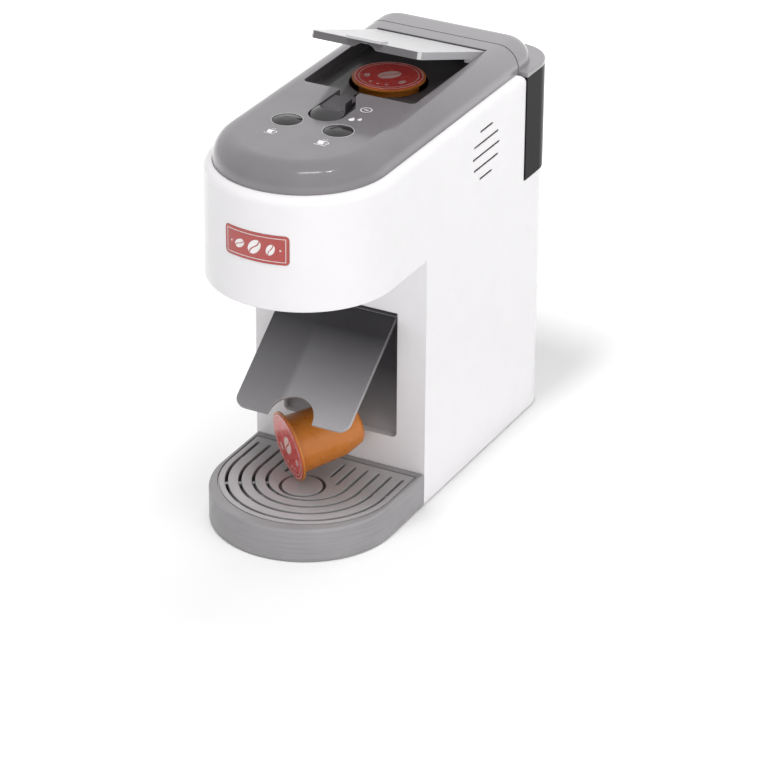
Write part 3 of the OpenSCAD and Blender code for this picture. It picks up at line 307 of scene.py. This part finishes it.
class CoffeeColours(bpy.types.PropertyGroup):
    body: bpy.props.StringProperty(
        name="Body", description="Colour of the white body, as sRGB hex", default="#EFEDEF"
    )
    cover: bpy.props.StringProperty(
        name="Cover", description="Colour of the top cover, as sRGB hex", default="#787578"
    )
    tray: bpy.props.StringProperty(
        name="Tray", description="Colour of the drip tray, as sRGB hex", default="#8C8A8C"
    )
    tank: bpy.props.StringProperty(
        name="Tank", description="Colour of the smoky tank, as sRGB hex", default="#0F0E10"
    )
    pod: bpy.props.StringProperty(
        name="Pod", description="Colour of the pods' cups, as sRGB hex", default="#C4742B"
    )
    foil: bpy.props.StringProperty(
        name="Foil", description="Colour of the pods' foils, as sRGB hex", default="#D8423A"
    )


class CoffeeSizes(bpy.types.PropertyGroup):
    icon: bpy.props.FloatProperty(
        name="Icon width",
        description="Width of the large cup icon",
        default=7 * MM,
        unit="LENGTH",
        subtype="DISTANCE",
    )
    print_height: bpy.props.FloatProperty(
        name="Print height",
        description="How far printed ink stands above its surface",
        default=0.05 * MM,
        precision=5,
        unit="LENGTH",
        subtype="DISTANCE",
    )
    bean: bpy.props.FloatProperty(
        name="Bean length",
        description="Length of the bean printed on a pod's foil",
        default=13 * MM,
        unit="LENGTH",
        subtype="DISTANCE",
    )


def colours():
    return bpy.context.scene.coffee_colours


def sizes():
    return bpy.context.scene.coffee_sizes


# ---------------------------------------------------------------------------
# Modelling by hand


def deselect():
    if bpy.context.object and bpy.context.object.mode != "OBJECT":
        bpy.ops.object.mode_set(mode="OBJECT")
    bpy.ops.object.select_all(action="DESELECT")


def select_only(*objects):
    deselect()
    for obj in objects:
        obj.select_set(True)
    bpy.context.view_layer.objects.active = objects[0]


def settle(obj, name):
    """Puts the object's place into its mesh, and names it."""
    select_only(obj)
    bpy.ops.object.transform_apply(location=True, rotation=True, scale=True)
    obj.name = name
    obj.data.name = name
    return obj


def join(objects, name):
    for obj in objects:
        select_only(obj)
        bpy.ops.object.transform_apply(location=True, rotation=True, scale=True)
    select_only(*objects)
    if len(objects) > 1:
        bpy.ops.object.join()
    return settle(bpy.context.object, name)


def flat_disc(radius, x, y, sides):
    """A flat disc in the XY plane."""
    deselect()
    bpy.ops.mesh.primitive_circle_add(
        vertices=sides, radius=radius, fill_type="TRIFAN", location=(x, y, 0)
    )
    return bpy.context.object


def flat_ring(outer, inner, sides, x=0.0, y=0.0):
    """A flat ring in the XY plane."""
    deselect()
    bpy.ops.mesh.primitive_circle_add(
        vertices=sides, radius=outer, fill_type="NOTHING", location=(x, y, 0)
    )
    bpy.ops.object.mode_set(mode="EDIT")
    bpy.ops.mesh.select_all(action="SELECT")
    bpy.ops.mesh.extrude_region()
    share = inner / outer
    bpy.ops.transform.resize(value=(share, share, 1.0), center_override=(x, y, 0))
    bpy.ops.object.mode_set(mode="OBJECT")
    return bpy.context.object


def flat_bar(width, height, x, y, turn=0.0):
    """A flat rectangle in the XY plane."""
    deselect()
    bpy.ops.mesh.primitive_plane_add(size=1, location=(x, y, 0), rotation=(0, 0, turn))
    bar = bpy.context.object
    bar.scale = (width, height, 1.0)
    return bar


def flat_cup(width, x, y):
    """A cup seen from the side: a tapered bowl with round lower corners, a handle and a saucer."""
    height = 0.62 * width
    bowl_x = x - 0.1 * width
    deselect()
    bpy.ops.mesh.primitive_plane_add(size=1, location=(bowl_x, y, 0))
    bowl = bpy.context.object
    bowl.scale = (0.72 * width, height, 1)
    bpy.ops.object.transform_apply(location=False, rotation=False, scale=True)
    bpy.ops.object.mode_set(mode="EDIT")
    bpy.ops.mesh.select_all(action="DESELECT")
    edit = bmesh.from_edit_mesh(bowl.data)
    for v in edit.verts:
        v.select = v.co.y < 0
    edit.select_flush(True)
    bmesh.update_edit_mesh(bowl.data)
    bpy.ops.transform.resize(value=(0.72, 1, 1), center_override=(bowl_x, y, 0))
    bpy.ops.mesh.bevel(offset=0.2 * width, segments=5, affect="VERTICES")
    bpy.ops.object.mode_set(mode="OBJECT")
    handle = flat_ring(0.2 * width, 0.12 * width, 24, x + 0.27 * width, y + 0.04 * width)
    saucer_y = y - height / 2 - 0.1 * width
    saucer = flat_bar(0.95 * width, 0.08 * width, x - 0.05 * width, saucer_y)
    return [bowl, handle, saucer]


def flat_drop(size, x, y):
    """A drop of water: a disc whose top is drawn out to a point."""
    drop = flat_disc(size / 2, x, y, sides=24)
    bpy.ops.object.mode_set(mode="EDIT")
    bpy.ops.mesh.select_all(action="DESELECT")
    edit = bmesh.from_edit_mesh(drop.data)
    top = max(edit.verts, key=lambda v: v.co.y)
    top.select = True
    edit.select_flush(True)
    bmesh.update_edit_mesh(drop.data)
    bpy.ops.transform.translate(
        value=(0, 0.5 * size, 0),
        use_proportional_edit=True,
        proportional_edit_falloff="SHARP",
        proportional_size=0.55 * size,
    )
    bpy.ops.object.mode_set(mode="OBJECT")
    return drop


def flat_bean(length, x, y, turn):
    """The two halves of a coffee bean, with an S-shaped gap between them."""
    halves = []
    rows = 14
    columns = 4
    wide = 0.33 * length
    sway = 0.16
    gap = 0.1
    for side in (-1, 1):
        deselect()
        bpy.ops.mesh.primitive_grid_add(x_subdivisions=columns, y_subdivisions=rows, size=1)
        half = bpy.context.object
        for v in half.data.vertices:
            along = v.co.y * 2
            across = v.co.x + 0.5
            inner = sway * math.sin(math.pi * along) + side * gap
            outer = side * math.sqrt(max(1 - along**2, 0.0))
            if (outer - inner) * side < 0:
                outer = inner
            v.co = (wide * (inner + (outer - inner) * across), 0.5 * length * along, 0)
        half.rotation_euler = (0, 0, turn)
        half.location = (x, y, 0)
        halves.append(half)
    return halves


def thicken(obj, amount, up=Vector((0, 0, 1))):
    """Merges doubles, turns the faces towards up and gives the thin shape its thickness."""
    close = 0.002 * MM
    select_only(obj)
    bpy.ops.object.mode_set(mode="EDIT")
    bpy.ops.mesh.select_all(action="SELECT")
    bpy.ops.mesh.remove_doubles(threshold=close)
    bpy.ops.mesh.dissolve_degenerate(threshold=close)
    bpy.ops.mesh.select_all(action="DESELECT")
    edit = bmesh.from_edit_mesh(obj.data)
    for face in edit.faces:
        face.normal_update()
        face.select = face.normal.dot(up) < 0
    bmesh.update_edit_mesh(obj.data)
    bpy.ops.mesh.flip_normals()
    bpy.ops.object.mode_set(mode="OBJECT")
    thick = obj.modifiers.new("Thickness", "SOLIDIFY")
    thick.thickness = amount
    thick.offset = 1.0
    bpy.ops.object.modifier_apply(modifier=thick.name)
    bpy.ops.object.mode_set(mode="EDIT")
    bpy.ops.mesh.select_all(action="SELECT")
    bpy.ops.mesh.normals_make_consistent(inside=False)
    bpy.ops.object.mode_set(mode="OBJECT")
    return obj


def place_piece(obj, matrix):
    """Moves a finished piece's mesh and leaves its object at the origin."""
    obj.data.transform(matrix)
    obj.data.update()
    return obj


def dress(material, *nodes):
    """Gives CAD nodes their material."""
    for node in nodes:
        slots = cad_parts[node].data.materials
        slots.clear()
        slots.append(material)


def finish_piece(obj, material, body):
    obj.data.materials.clear()
    obj.data.materials.append(material)
    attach(obj, body)
    return obj


# ---------------------------------------------------------------------------
# Finishes of the moulded and metal parts


class COFFEE_OT_shells(bpy.types.Operator):
    """Give the body, the top cover, the lid and the tray their moulded finishes"""

    bl_idname = "coffee.shells"
    bl_label = "Shells"

    def execute(self, context):
        # gloss ABS from a polished mould: clean, with a faint ripple and painted shade in the speaker
        # slots
        white = moulded(
            "Gloss_ABS_White",
            colours().body,
            "#F1EFF1",
            roughness=(0.2, 0.26),
            grain_mm=4.0,
            relief_mm=0.0015,
            masks=VENT_SLOT_SHADE,
            **{"IOR": 1.5, "Coat Weight": 0.15},
        )
        dress(white, "body_shell")
        # the same plastic in grey, with painted light paler to the rear and painted shade in the pod
        # bay
        grey = moulded(
            "Gloss_ABS_Grey",
            colours().cover,
            "#7C797C",
            roughness=(0.12, 0.17),
            grain_mm=3.5,
            relief_mm=0.002,
            edge="#969496",
            edge_mm=0.35,
            masks=BAY_SHADE_PATCHES,
            fades=COVER_LIGHT_FADES,
            **{"IOR": 1.5, "Coat Weight": 0.3, "Coat Roughness": 0.08},
        )
        dress(grey, "top_cover", "tank_lid")
        # pale ABS, satin on the lid's top, with painted shade greyer on its sides and front skirt
        lid = moulded(
            "Satin_ABS_Pale",
            "#C4C3C5",
            "#C9C8CA",
            roughness=(0.3, 0.36),
            grain_mm=3.0,
            relief_mm=0.0005,
            edge="#DDDCDE",
            edge_mm=0.3,
            masks=LID_SHADE_PATCHES,
            hinge=((0.0, LID_AXIS.y, LID_AXIS.z), LID_ANGLE),
            **{"IOR": 1.45},
        )
        dress(lid, "lid")
        # fine spark-eroded texture on the tray, as moulded, with level lines
        tray = moulded(
            "Satin_ABS_Tray_Grey",
            colours().tray,
            "#939193",
            roughness=(0.36, 0.46),
            grain_mm=0.7,
            relief_mm=0.012,
            edge="#9C9A9C",
            edge_mm=0.6,
            streak="#9B999B",
            **{"IOR": 1.5},
        )
        dress(tray, "drip_tray")
        # the same texture, painted paler for the light it catches, with painted shade in the disc's
        # groove
        grille = moulded(
            "Satin_ABS_Grille_Grey",
            "#A9A7A9",
            "#B0AEB0",
            roughness=(0.34, 0.44),
            grain_mm=0.7,
            relief_mm=0.01,
            edge="#B6B4B6",
            masks=DISC_GROOVE_SHADE,
            **{"IOR": 1.5},
        )
        dress(grille, "drip_grille")
        return {"FINISHED"}


class COFFEE_OT_dark_parts(bpy.types.Operator):
    """Give the buttons, the slider, the flap and the inner parts their dark finishes"""

    bl_idname = "coffee.dark_parts"
    bl_label = "Dark parts"

    def execute(self, context):
        # gloss ABS, nearly black, so that its shine shows most
        glossy = moulded(
            "Gloss_ABS_Button_Grey",
            "#232123",
            "#272527",
            roughness=(0.08, 0.12),
            grain_mm=2.0,
            relief_mm=0.001,
            edge="#6A686A",
            edge_mm=0.4,
            **{"IOR": 1.45},
        )
        dress(glossy, "button_small", "button_large")
        # the same on the slider, paler and duller along its arm
        slider = moulded(
            "Gloss_ABS_Slider_Grey",
            "#2E2B2E",
            "#333133",
            roughness=(0.09, 0.13),
            grain_mm=2.0,
            relief_mm=0.001,
            edge="#7A787A",
            edge_mm=0.4,
            masks=SLIDER_ARM,
            **{"IOR": 1.5, "Coat Weight": 0.1, "Coat Roughness": 0.06},
        )
        dress(slider, "thumb_slider")
        # metal-effect lacquer on ABS: a soft sheen, painted shade darker to the hinge and the left
        flap = moulded(
            "Metallic_Lacquer_Flap",
            "#B6B4B7",
            "#BAB8BB",
            roughness=(0.34, 0.42),
            grain_mm=0.5,
            relief_mm=0.003,
            edge="#C4C2C5",
            edge_mm=0.6,
            fades=FLAP_SHADE_FADES,
            tint_mm=40.0,
            **{"IOR": 1.5, "Metallic": 0.25},
        )
        dress(flap, "chute_flap")
        # satin ABS that leads the pod out: painted light below, painted shade above under the head
        chute = moulded(
            "Satin_ABS_Chute_Grey",
            "#B2B0B3",
            "#B8B6B9",
            roughness=(0.35, 0.45),
            grain_mm=0.6,
            relief_mm=0.004,
            fades=CHUTE_LIGHT_AND_SHADE,
        )
        dress(chute, "pod_chute")
        # matt ABS of inner parts, with a coarse texture
        inner = moulded(
            "Matt_ABS_Inner_Dark",
            "#454447",
            "#3B3A3D",
            roughness=(0.45, 0.58),
            grain_mm=0.5,
            relief_mm=0.012,
            edge="#5A595C",
        )
        dress(inner, "pod_well", "drop_gate", "base_plate", "battery_door")
        # the same in black for bought-in parts
        black = moulded(
            "Matt_ABS_Black",
            "#1B1B1C",
            "#222224",
            roughness=(0.45, 0.6),
            grain_mm=0.5,
            relief_mm=0.01,
            edge="#333335",
        )
        dress(black, "battery_box", "button_switches", "mode_switch", "tank_spigot")
        dress(black, "pump", "speaker", "spout")
        # rubber: dull, with a dusty bloom
        foot = moulded(
            "Rubber_Foot",
            "#4A4A4B",
            "#575758",
            roughness=(0.7, 0.85),
            grain_mm=0.4,
            relief_mm=0.02,
        )
        dress(foot, "base_feet", "tray_feet")
        # cleaner rubber, wiped by the water
        valve = moulded(
            "Rubber_Valve",
            "#161616",
            "#202020",
            roughness=(0.55, 0.7),
            grain_mm=0.4,
            relief_mm=0.01,
        )
        dress(valve, "tank_valve")
        # silicone: milky and soft
        hose = moulded(
            "Silicone_Hose",
            "#DAD9D4",
            "#E4E3DE",
            roughness=(0.35, 0.45),
            grain_mm=0.8,
            relief_mm=0.01,
            **{"Subsurface Weight": 0.2},
        )
        dress(hose, "pump_hose")
        return {"FINISHED"}


class COFFEE_OT_tank(bpy.types.Operator):
    """Give the water tank its smoky clear finish"""

    bl_idname = "coffee.tank"
    bl_label = "Water tank"

    def execute(self, context):
        # smoke-tinted SAN: glossy, dark through its thickness, with a painted reflection a little
        # paler at the rear
        smoky = moulded(
            "Smoky_SAN_Tank",
            colours().tank,
            "#131214",
            roughness=(0.06, 0.1),
            grain_mm=6.0,
            relief_mm=0.001,
            edge="#5E5C5F",
            edge_mm=0.6,
            fades=TANK_REFLECTION_FADES,
            **{"IOR": 1.3, "Specular IOR Level": 0.1, "Transmission Weight": 0.05},
        )
        dress(smoky, "water_tank")
        return {"FINISHED"}


class COFFEE_OT_metal(bpy.types.Operator):
    """Give the pins, screws, contacts, cells and the board their finishes"""

    bl_idname = "coffee.metal"
    bl_label = "Metal parts"

    def execute(self, context):
        # bright drawn steel wire and rod, with lines along X
        steel = brushed(
            "Drawn_Steel",
            "#C9C8C6",
            "#B2B1AF",
            roughness=(0.22, 0.38),
            grain_mm=0.25,
            stretch=(0.06, 1, 1),
        )
        dress(steel, "base_screws", "door_screw", "board_screws", "lid_pin", "gate_pin")
        dress(steel, "flap_pin", "gate_link", "battery_contacts", "pump_motor", "speaker_magnet")
        # printed steel jacket of the cells: a lacquered sheen
        cell = moulded(
            "Lacquered_Cell",
            "#A8843C",
            "#B08C44",
            roughness=(0.2, 0.3),
            grain_mm=3.0,
            relief_mm=0.003,
            **{"Metallic": 0.6},
        )
        dress(cell, "batteries")
        # glass-fibre board under green solder resist, with pale sawn edges
        board = moulded(
            "Solder_Resist_Green",
            "#1F5A34",
            "#246439",
            roughness=(0.25, 0.4),
            grain_mm=0.6,
            relief_mm=0.01,
            edge="#B8AE7A",
            edge_mm=0.2,
        )
        dress(board, "circuit_board")
        return {"FINISHED"}


class COFFEE_OT_springs(bpy.types.Operator):
    """Coil the springs under the buttons"""

    bl_idname = "coffee.springs"
    bl_label = "Button springs"

    def execute(self, context):
        wire = 0.4 * MM
        turns = 4
        for side in ("small", "large"):
            node = "spring_" + side
            low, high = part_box(node)
            foot = Vector(((low.x + high.x) / 2, (low.y + high.y) / 2, low.z))
            height = high.z - low.z
            radius = (high.x - low.x) / 2 - wire
            # the wire's round section, stood up beside the coil's axis
            deselect()
            bpy.ops.mesh.primitive_circle_add(
                vertices=10,
                radius=wire,
                fill_type="NOTHING",
                location=(radius, 0, 0),
                rotation=(math.pi / 2, 0, 0),
            )
            coil = bpy.context.object
            bpy.ops.object.transform_apply(location=True, rotation=True, scale=True)
            screw = coil.modifiers.new("Coil", "SCREW")
            screw.axis = "Z"
            screw.screw_offset = (height - 2 * wire) / turns
            screw.iterations = turns
            screw.steps = screw.render_steps = 24
            bpy.ops.object.modifier_apply(modifier=screw.name)
            bpy.ops.object.mode_set(mode="EDIT")
            bpy.ops.mesh.select_all(action="SELECT")
            bpy.ops.mesh.remove_doubles(threshold=0.002 * MM)
            bpy.ops.mesh.fill_holes(sides=0)
            bpy.ops.mesh.select_all(action="SELECT")
            bpy.ops.mesh.normals_make_consistent(inside=False)
            bpy.ops.object.mode_set(mode="OBJECT")
            bpy.ops.object.shade_smooth()
            settle(coil, side + "_button_spring")
            place_piece(coil, Matrix.Translation(foot + Vector((0, 0, wire))))
            finish_piece(coil, bpy.data.materials["Drawn_Steel"], "body")
            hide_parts(node)
            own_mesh(coil)
        return {"FINISHED"}


# ---------------------------------------------------------------------------
# Pods


def foil_print(name, matrix, body, ink):
    """Two pale rings, a large bean, two small ones and dots printed on a foil."""
    bean = sizes().bean
    shapes = [
        flat_ring(0.87 * FOIL_RADIUS, 0.845 * FOIL_RADIUS, 72),
        flat_ring(0.985 * FOIL_RADIUS, 0.955 * FOIL_RADIUS, 72),
    ]
    shapes += flat_bean(bean, 0, 0.06 * bean, math.radians(-35))
    for angle in (205, 335):
        a = math.radians(angle)
        out = 0.62 * FOIL_RADIUS
        shapes += flat_bean(0.36 * bean, out * math.cos(a), out * math.sin(a), a)
    for angle in (248, 270, 292):
        a = math.radians(angle)
        out = 0.68 * FOIL_RADIUS
        shapes.append(flat_disc(0.045 * FOIL_RADIUS, out * math.cos(a), out * math.sin(a), 16))
    mark = thicken(join(shapes, name), sizes().print_height)
    place_piece(mark, matrix)
    return finish_piece(mark, ink, body)


def exit_foil_frame():
    """The matrix that puts a print on the outer face of the outlet pod's foil."""
    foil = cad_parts["exit_pod_foil"].data
    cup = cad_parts["exit_pod"].data
    middle = sum((v.co for v in foil.vertices), Vector()) / len(foil.vertices)
    inside = sum((v.co for v in cup.vertices), Vector()) / len(cup.vertices)
    # the largest faces give the foil's plane, and the cup tells which side is out
    out = Vector()
    for face in sorted(foil.polygons, key=lambda p: p.area, reverse=True)[:40]:
        sign = 1 if face.normal.dot(middle - inside) > 0 else -1
        out += face.normal * face.area * sign
    out.normalize()
    reach = max((v.co - middle).dot(out) for v in foil.vertices)
    side = Vector((0, 0, 1)).cross(out).normalized()
    turn = Matrix((side, out.cross(side), out)).transposed().to_4x4()
    return Matrix.Translation(middle + out * reach) @ turn


class COFFEE_OT_pods(bpy.types.Operator):
    """Finish the pods' cups and foils and print beans on each foil"""

    bl_idname = "coffee.pods"
    bl_label = "Pods"

    def execute(self, context):
        # injection-moulded polypropylene, satin, with a little light in the wall
        cup = moulded(
            "Satin_PP_Pod",
            colours().pod,
            "#CA7A30",
            roughness=(0.26, 0.36),
            grain_mm=0.9,
            relief_mm=0.008,
            edge="#E8A566",
            edge_mm=0.4,
            **{"IOR": 1.49, "Subsurface Weight": 0.08, "Subsurface Radius": (0.004, 0.002, 0.001)},
        )
        dress(cup, "seated_pod", "exit_pod")
        # printed film with a gloss lacquer
        foil = moulded(
            "Gloss_Film_Foil",
            colours().foil,
            "#DC443D",
            roughness=(0.2, 0.3),
            grain_mm=1.6,
            relief_mm=0.003,
            edge="#E88C80",
            edge_mm=0.2,
            **{"Coat Weight": 0.2, "Coat Roughness": 0.1},
        )
        dress(foil, "seated_pod_foil", "exit_pod_foil")
        # opaque screen ink: flat and a little dull
        ink = moulded(
            "Pale_Ink",
            "#EBC9C2",
            "#F0D2CB",
            roughness=(0.4, 0.5),
            grain_mm=0.8,
            relief_mm=0.003,
        )
        top = Matrix.Translation((POD_MIDDLE.x, POD_MIDDLE.y, POD_HIGH.z))
        foil_print("seated_pod_print", top, "seated_pod", ink)
        foil_print("exit_pod_print", exit_foil_frame(), "exit_pod", ink)
        return {"FINISHED"}


# ---------------------------------------------------------------------------
# Prints and rims on the cover and the head


class COFFEE_OT_icons(bpy.types.Operator):
    """Print the small cup, large cup, power ring and drops on the cover"""

    bl_idname = "coffee.icons"
    bl_label = "Icons"

    def execute(self, context):
        # white pad-printed ink
        ink = moulded(
            "White_Ink",
            "#F2F1F2",
            "#F7F6F7",
            roughness=(0.35, 0.45),
            grain_mm=0.8,
            relief_mm=0.002,
        )
        wide = sizes().icon
        small_x, large_x = ((low.x + high.x) / 2 + CUP_SHIFT for low, high in BUTTONS)
        lean = math.radians(-20)
        shapes = []
        for size, x, y in ((0.85 * wide, small_x, SMALL_CUP_Y), (wide, large_x, LARGE_CUP_Y)):
            shapes += flat_cup(size, x, y)
            # two wisps of steam
            line = 0.05 * wide
            shapes.append(flat_bar(line, 0.2 * size, x - 0.2 * size, y + 0.5 * size, lean))
            shapes.append(flat_bar(line, 0.26 * size, x + 0.02 * size, y + 0.53 * size, lean))
        # power ring with its bar
        shapes.append(flat_ring(3.1 * MM, 2.55 * MM, 48, *POWER_PLACE))
        shapes.append(flat_bar(2.4 * MM, 0.7 * MM, *POWER_PLACE))
        for size, x, y in DROPS:
            shapes.append(flat_drop(size, x, y))
        icons = thicken(join(shapes, "cover_icons"), sizes().print_height)
        place_piece(icons, Matrix.Translation((0, 0, COVER_TOP)))
        finish_piece(icons, ink, "body")
        return {"FINISHED"}


class COFFEE_OT_button_rings(bpy.types.Operator):
    """Add the thin raised rim round each button's hole"""

    bl_idname = "coffee.button_rings"
    bl_label = "Button rims"

    def execute(self, context):
        # gloss ABS painted paler than the cover as a highlight, so that the rim draws a fine line
        rim = moulded(
            "Gloss_ABS_Rim_Highlight",
            "#B4B2B4",
            "#BCBABC",
            roughness=(0.14, 0.2),
            grain_mm=1.5,
            relief_mm=0.002,
            **{"Coat Weight": 0.4},
        )
        for name, (low, high) in zip(("small_button_rim", "large_button_rim"), BUTTONS):
            middle = (low + high) / 2
            deselect()
            bpy.ops.mesh.primitive_torus_add(
                major_segments=72,
                minor_segments=10,
                major_radius=7.95 * MM,
                minor_radius=0.28 * MM,
                location=(middle.x, middle.y, COVER_TOP),
            )
            ring = bpy.context.object
            ring.scale = (1, 1, 0.7)
            settle(ring, name)
            bpy.ops.object.shade_smooth()
            finish_piece(ring, rim, "body")
        return {"FINISHED"}


def wrap_on_head(obj, radius):
    """Bends a flat shape in the XY plane on to the head's round front."""
    for v in obj.data.vertices:
        v.co = (v.co.x, HEAD_Y - math.sqrt(radius**2 - v.co.x**2), PLATE_MIDDLE + v.co.y)
    obj.data.update()


class COFFEE_OT_plate_print(bpy.types.Operator):
    """Finish the plate on the head and print a frame and a row of beans on it"""

    bl_idname = "coffee.plate_print"
    bl_label = "Front plate"

    def execute(self, context):
        # acrylic plate printed from behind: clear, deep and glossy
        plate = moulded(
            "Gloss_Acrylic_Red",
            "#AB3530",
            "#B03A34",
            roughness=(0.1, 0.16),
            grain_mm=2.0,
            relief_mm=0.003,
            edge="#C4645E",
            edge_mm=0.3,
            **{"IOR": 1.49, "Coat Weight": 0.5, "Coat Roughness": 0.04},
        )
        dress(plate, "front_plate")
        # white screen ink
        ink = moulded(
            "White_Plate_Ink",
            "#F1ECEB",
            "#F6F2F1",
            roughness=(0.3, 0.4),
            grain_mm=0.8,
            relief_mm=0.002,
        )
        margin = 1.5 * MM
        line = 0.35 * MM
        half_w = (PLATE_HIGH.x - PLATE_LOW.x) / 2 - margin
        half_h = (PLATE_HIGH.z - PLATE_LOW.z) / 2 - margin
        shapes = []
        for side in (-1, 1):
            bars = [
                flat_bar(2 * half_w, line, 0, side * half_h),
                flat_bar(line, 2 * half_h + line, side * half_w, 0),
            ]
            # enough cuts for the bars to follow the round head
            for bar in bars:
                select_only(bar)
                bpy.ops.object.mode_set(mode="EDIT")
                bpy.ops.mesh.select_all(action="SELECT")
                bpy.ops.mesh.subdivide(number_cuts=24)
                bpy.ops.object.mode_set(mode="OBJECT")
            shapes += bars
        # a large bean in the middle, a small one and a dot on each side of it
        lean, fan = -40, 15
        bean_x, bean_y = 8.6 * MM, -0.2 * MM
        dot_x = 13.6 * MM
        shapes += flat_bean(9.0 * MM, 0, 0, math.radians(lean))
        for side in (-1, 1):
            shapes += flat_bean(6.4 * MM, side * bean_x, bean_y, math.radians(lean + side * fan))
            shapes.append(flat_disc(0.5 * MM, side * dot_x, 0, sides=16))
        mark = join(shapes, "front_plate_print")
        wrap_on_head(mark, HEAD_Y - PLATE_LOW.y)
        thicken(mark, sizes().print_height, Vector((0, -1, 0)))
        finish_piece(mark, ink, "body")
        return {"FINISHED"}


# ---------------------------------------------------------------------------
# Studio


class COFFEE_OT_stage(bpy.types.Operator):
    """Add the pale floor, the soft lights, the world and the camera"""

    bl_idname = "coffee.stage"
    bl_label = "Studio"

    def execute(self, context):
        scene = context.scene
        scene.view_settings.view_transform = "Standard"
        self.floor()
        self.world(scene)
        # the key gives the shadow, and Streak and Glint show in the gloss
        for lamp in LAMPS:
            self.lamp(scene, *lamp)
        self.camera(scene)
        return {"FINISHED"}

    def floor(self):
        deselect()
        bpy.ops.mesh.primitive_plane_add(size=14, location=(0, 0, 0))
        floor = bpy.context.object
        floor.name = "studio_floor"
        material = new_material("Studio_Paper")
        tree = material.node_tree
        paper = add(tree, "ShaderNodeBsdfDiffuse", {"Color": (0.86, 0.86, 0.86, 1)})
        # the paper's own brightness grows away from the machine, so its shadow stays
        place = add(tree, "ShaderNodeTexCoord").outputs["Object"]
        away = add(tree, "ShaderNodeVectorMath", {0: place}, operation="LENGTH").outputs["Value"]
        bright = add(tree, "ShaderNodeMapRange", {0: away, 1: 0.18, 2: 0.65, 3: 0.1, 4: 0.66})
        # and painted light a little to the left, lifting the lamps' shadow there
        across = add(tree, "ShaderNodeSeparateXYZ", {0: place}).outputs[X]
        left = add(tree, "ShaderNodeMapRange", {0: across, 1: 0.0, 2: -0.1, 3: 0.0, 4: 0.13})
        strength = add(tree, "ShaderNodeMath", {0: bright, 1: left}, operation="ADD")
        lift = add(tree, "ShaderNodeEmission", {"Color": WHITE, "Strength": strength})
        none = add(tree, "ShaderNodeEmission", {"Strength": 0.0})
        glow = add(tree, "ShaderNodeMixShader", {0: seen(tree), 1: none, 2: lift})
        both = add(tree, "ShaderNodeAddShader", {0: paper, 1: glow})
        add(tree, "ShaderNodeOutputMaterial", {"Surface": both})
        floor.data.materials.append(material)

    def world(self, scene):
        world = bpy.data.worlds.new("Studio_Sky")
        scene.world = world
        world.use_nodes = True
        tree = world.node_tree
        tree.nodes.clear()
        light = add(tree, "ShaderNodeBackground", {"Color": WHITE, "Strength": SKY_LIGHT})
        shown = add(tree, "ShaderNodeBackground", {"Color": WHITE, "Strength": 1.0})
        mix = add(tree, "ShaderNodeMixShader", {0: seen(tree), 1: light, 2: shown})
        add(tree, "ShaderNodeOutputWorld", {"Surface": mix})

    def lamp(self, scene, name, place, width, height, power, glossy):
        lamp = bpy.data.lights.new(name, "AREA")
        lamp.shape = "RECTANGLE"
        lamp.size = width
        lamp.size_y = height
        lamp.energy = power
        obj = bpy.data.objects.new(name, lamp)
        scene.collection.objects.link(obj)
        obj.location = place
        obj.visible_glossy = glossy
        obj.rotation_euler = (LAMP_AIM - Vector(place)).to_track_quat("-Z", "Y").to_euler()

    def camera(self, scene):
        lens = bpy.data.cameras.new("Camera")
        lens.sensor_width = CAMERA_SENSOR_MM
        lens.lens = CAMERA_LENS_MM
        lens.clip_start = 0.05
        lens.clip_end = 50
        camera = bpy.data.objects.new("Camera", lens)
        scene.collection.objects.link(camera)
        level = math.cos(CAMERA_ELEVATION)
        back = Vector(
            (
                math.sin(CAMERA_AZIMUTH) * level,
                -math.cos(CAMERA_AZIMUTH) * level,
                math.sin(CAMERA_ELEVATION),
            )
        )
        right = Vector((math.cos(CAMERA_AZIMUTH), math.sin(CAMERA_AZIMUTH), 0))
        up = back.cross(right)
        rolled_right = right * math.cos(CAMERA_ROLL) + up * math.sin(CAMERA_ROLL)
        rolled_up = up * math.cos(CAMERA_ROLL) - right * math.sin(CAMERA_ROLL)
        turn = Matrix((rolled_right, rolled_up, back)).transposed().to_4x4()
        camera.matrix_world = Matrix.Translation(CAMERA_PLACE) @ turn
        scene.camera = camera


# ---------------------------------------------------------------------------
# Panel and registration


class COFFEE_PT_panel(bpy.types.Panel):
    """Lists the steps that dress the toy coffee maker"""

    bl_idname = "COFFEE_PT_panel"
    bl_label = "Toy Coffee Maker"
    bl_space_type = "VIEW_3D"
    bl_region_type = "UI"
    bl_category = "Coffee"

    def draw(self, context):
        column = self.layout.column()
        for name in CoffeeColours.__annotations__:
            column.prop(context.scene.coffee_colours, name)
        for name in CoffeeSizes.__annotations__:
            column.prop(context.scene.coffee_sizes, name)
        for step in STEPS:
            column.operator(step.bl_idname)


STEPS = (
    COFFEE_OT_stage,
    COFFEE_OT_shells,
    COFFEE_OT_dark_parts,
    COFFEE_OT_tank,
    COFFEE_OT_metal,
    COFFEE_OT_springs,
    COFFEE_OT_pods,
    COFFEE_OT_icons,
    COFFEE_OT_button_rings,
    COFFEE_OT_plate_print,
)
CLASSES = (CoffeeColours, CoffeeSizes, *STEPS, COFFEE_PT_panel)


def register():
    for cls in CLASSES:
        bpy.utils.register_class(cls)
    bpy.types.Scene.coffee_colours = bpy.props.PointerProperty(type=CoffeeColours)
    bpy.types.Scene.coffee_sizes = bpy.props.PointerProperty(type=CoffeeSizes)


def unregister():
    del bpy.types.Scene.coffee_sizes
    del bpy.types.Scene.coffee_colours
    for cls in reversed(CLASSES):
        bpy.utils.unregister_class(cls)


def main():
    register()
    for step in STEPS:
        group, name = step.bl_idname.split(".")
        getattr(getattr(bpy.ops, group), name)()
    deselect()


if __name__ == "__main__":
    main()
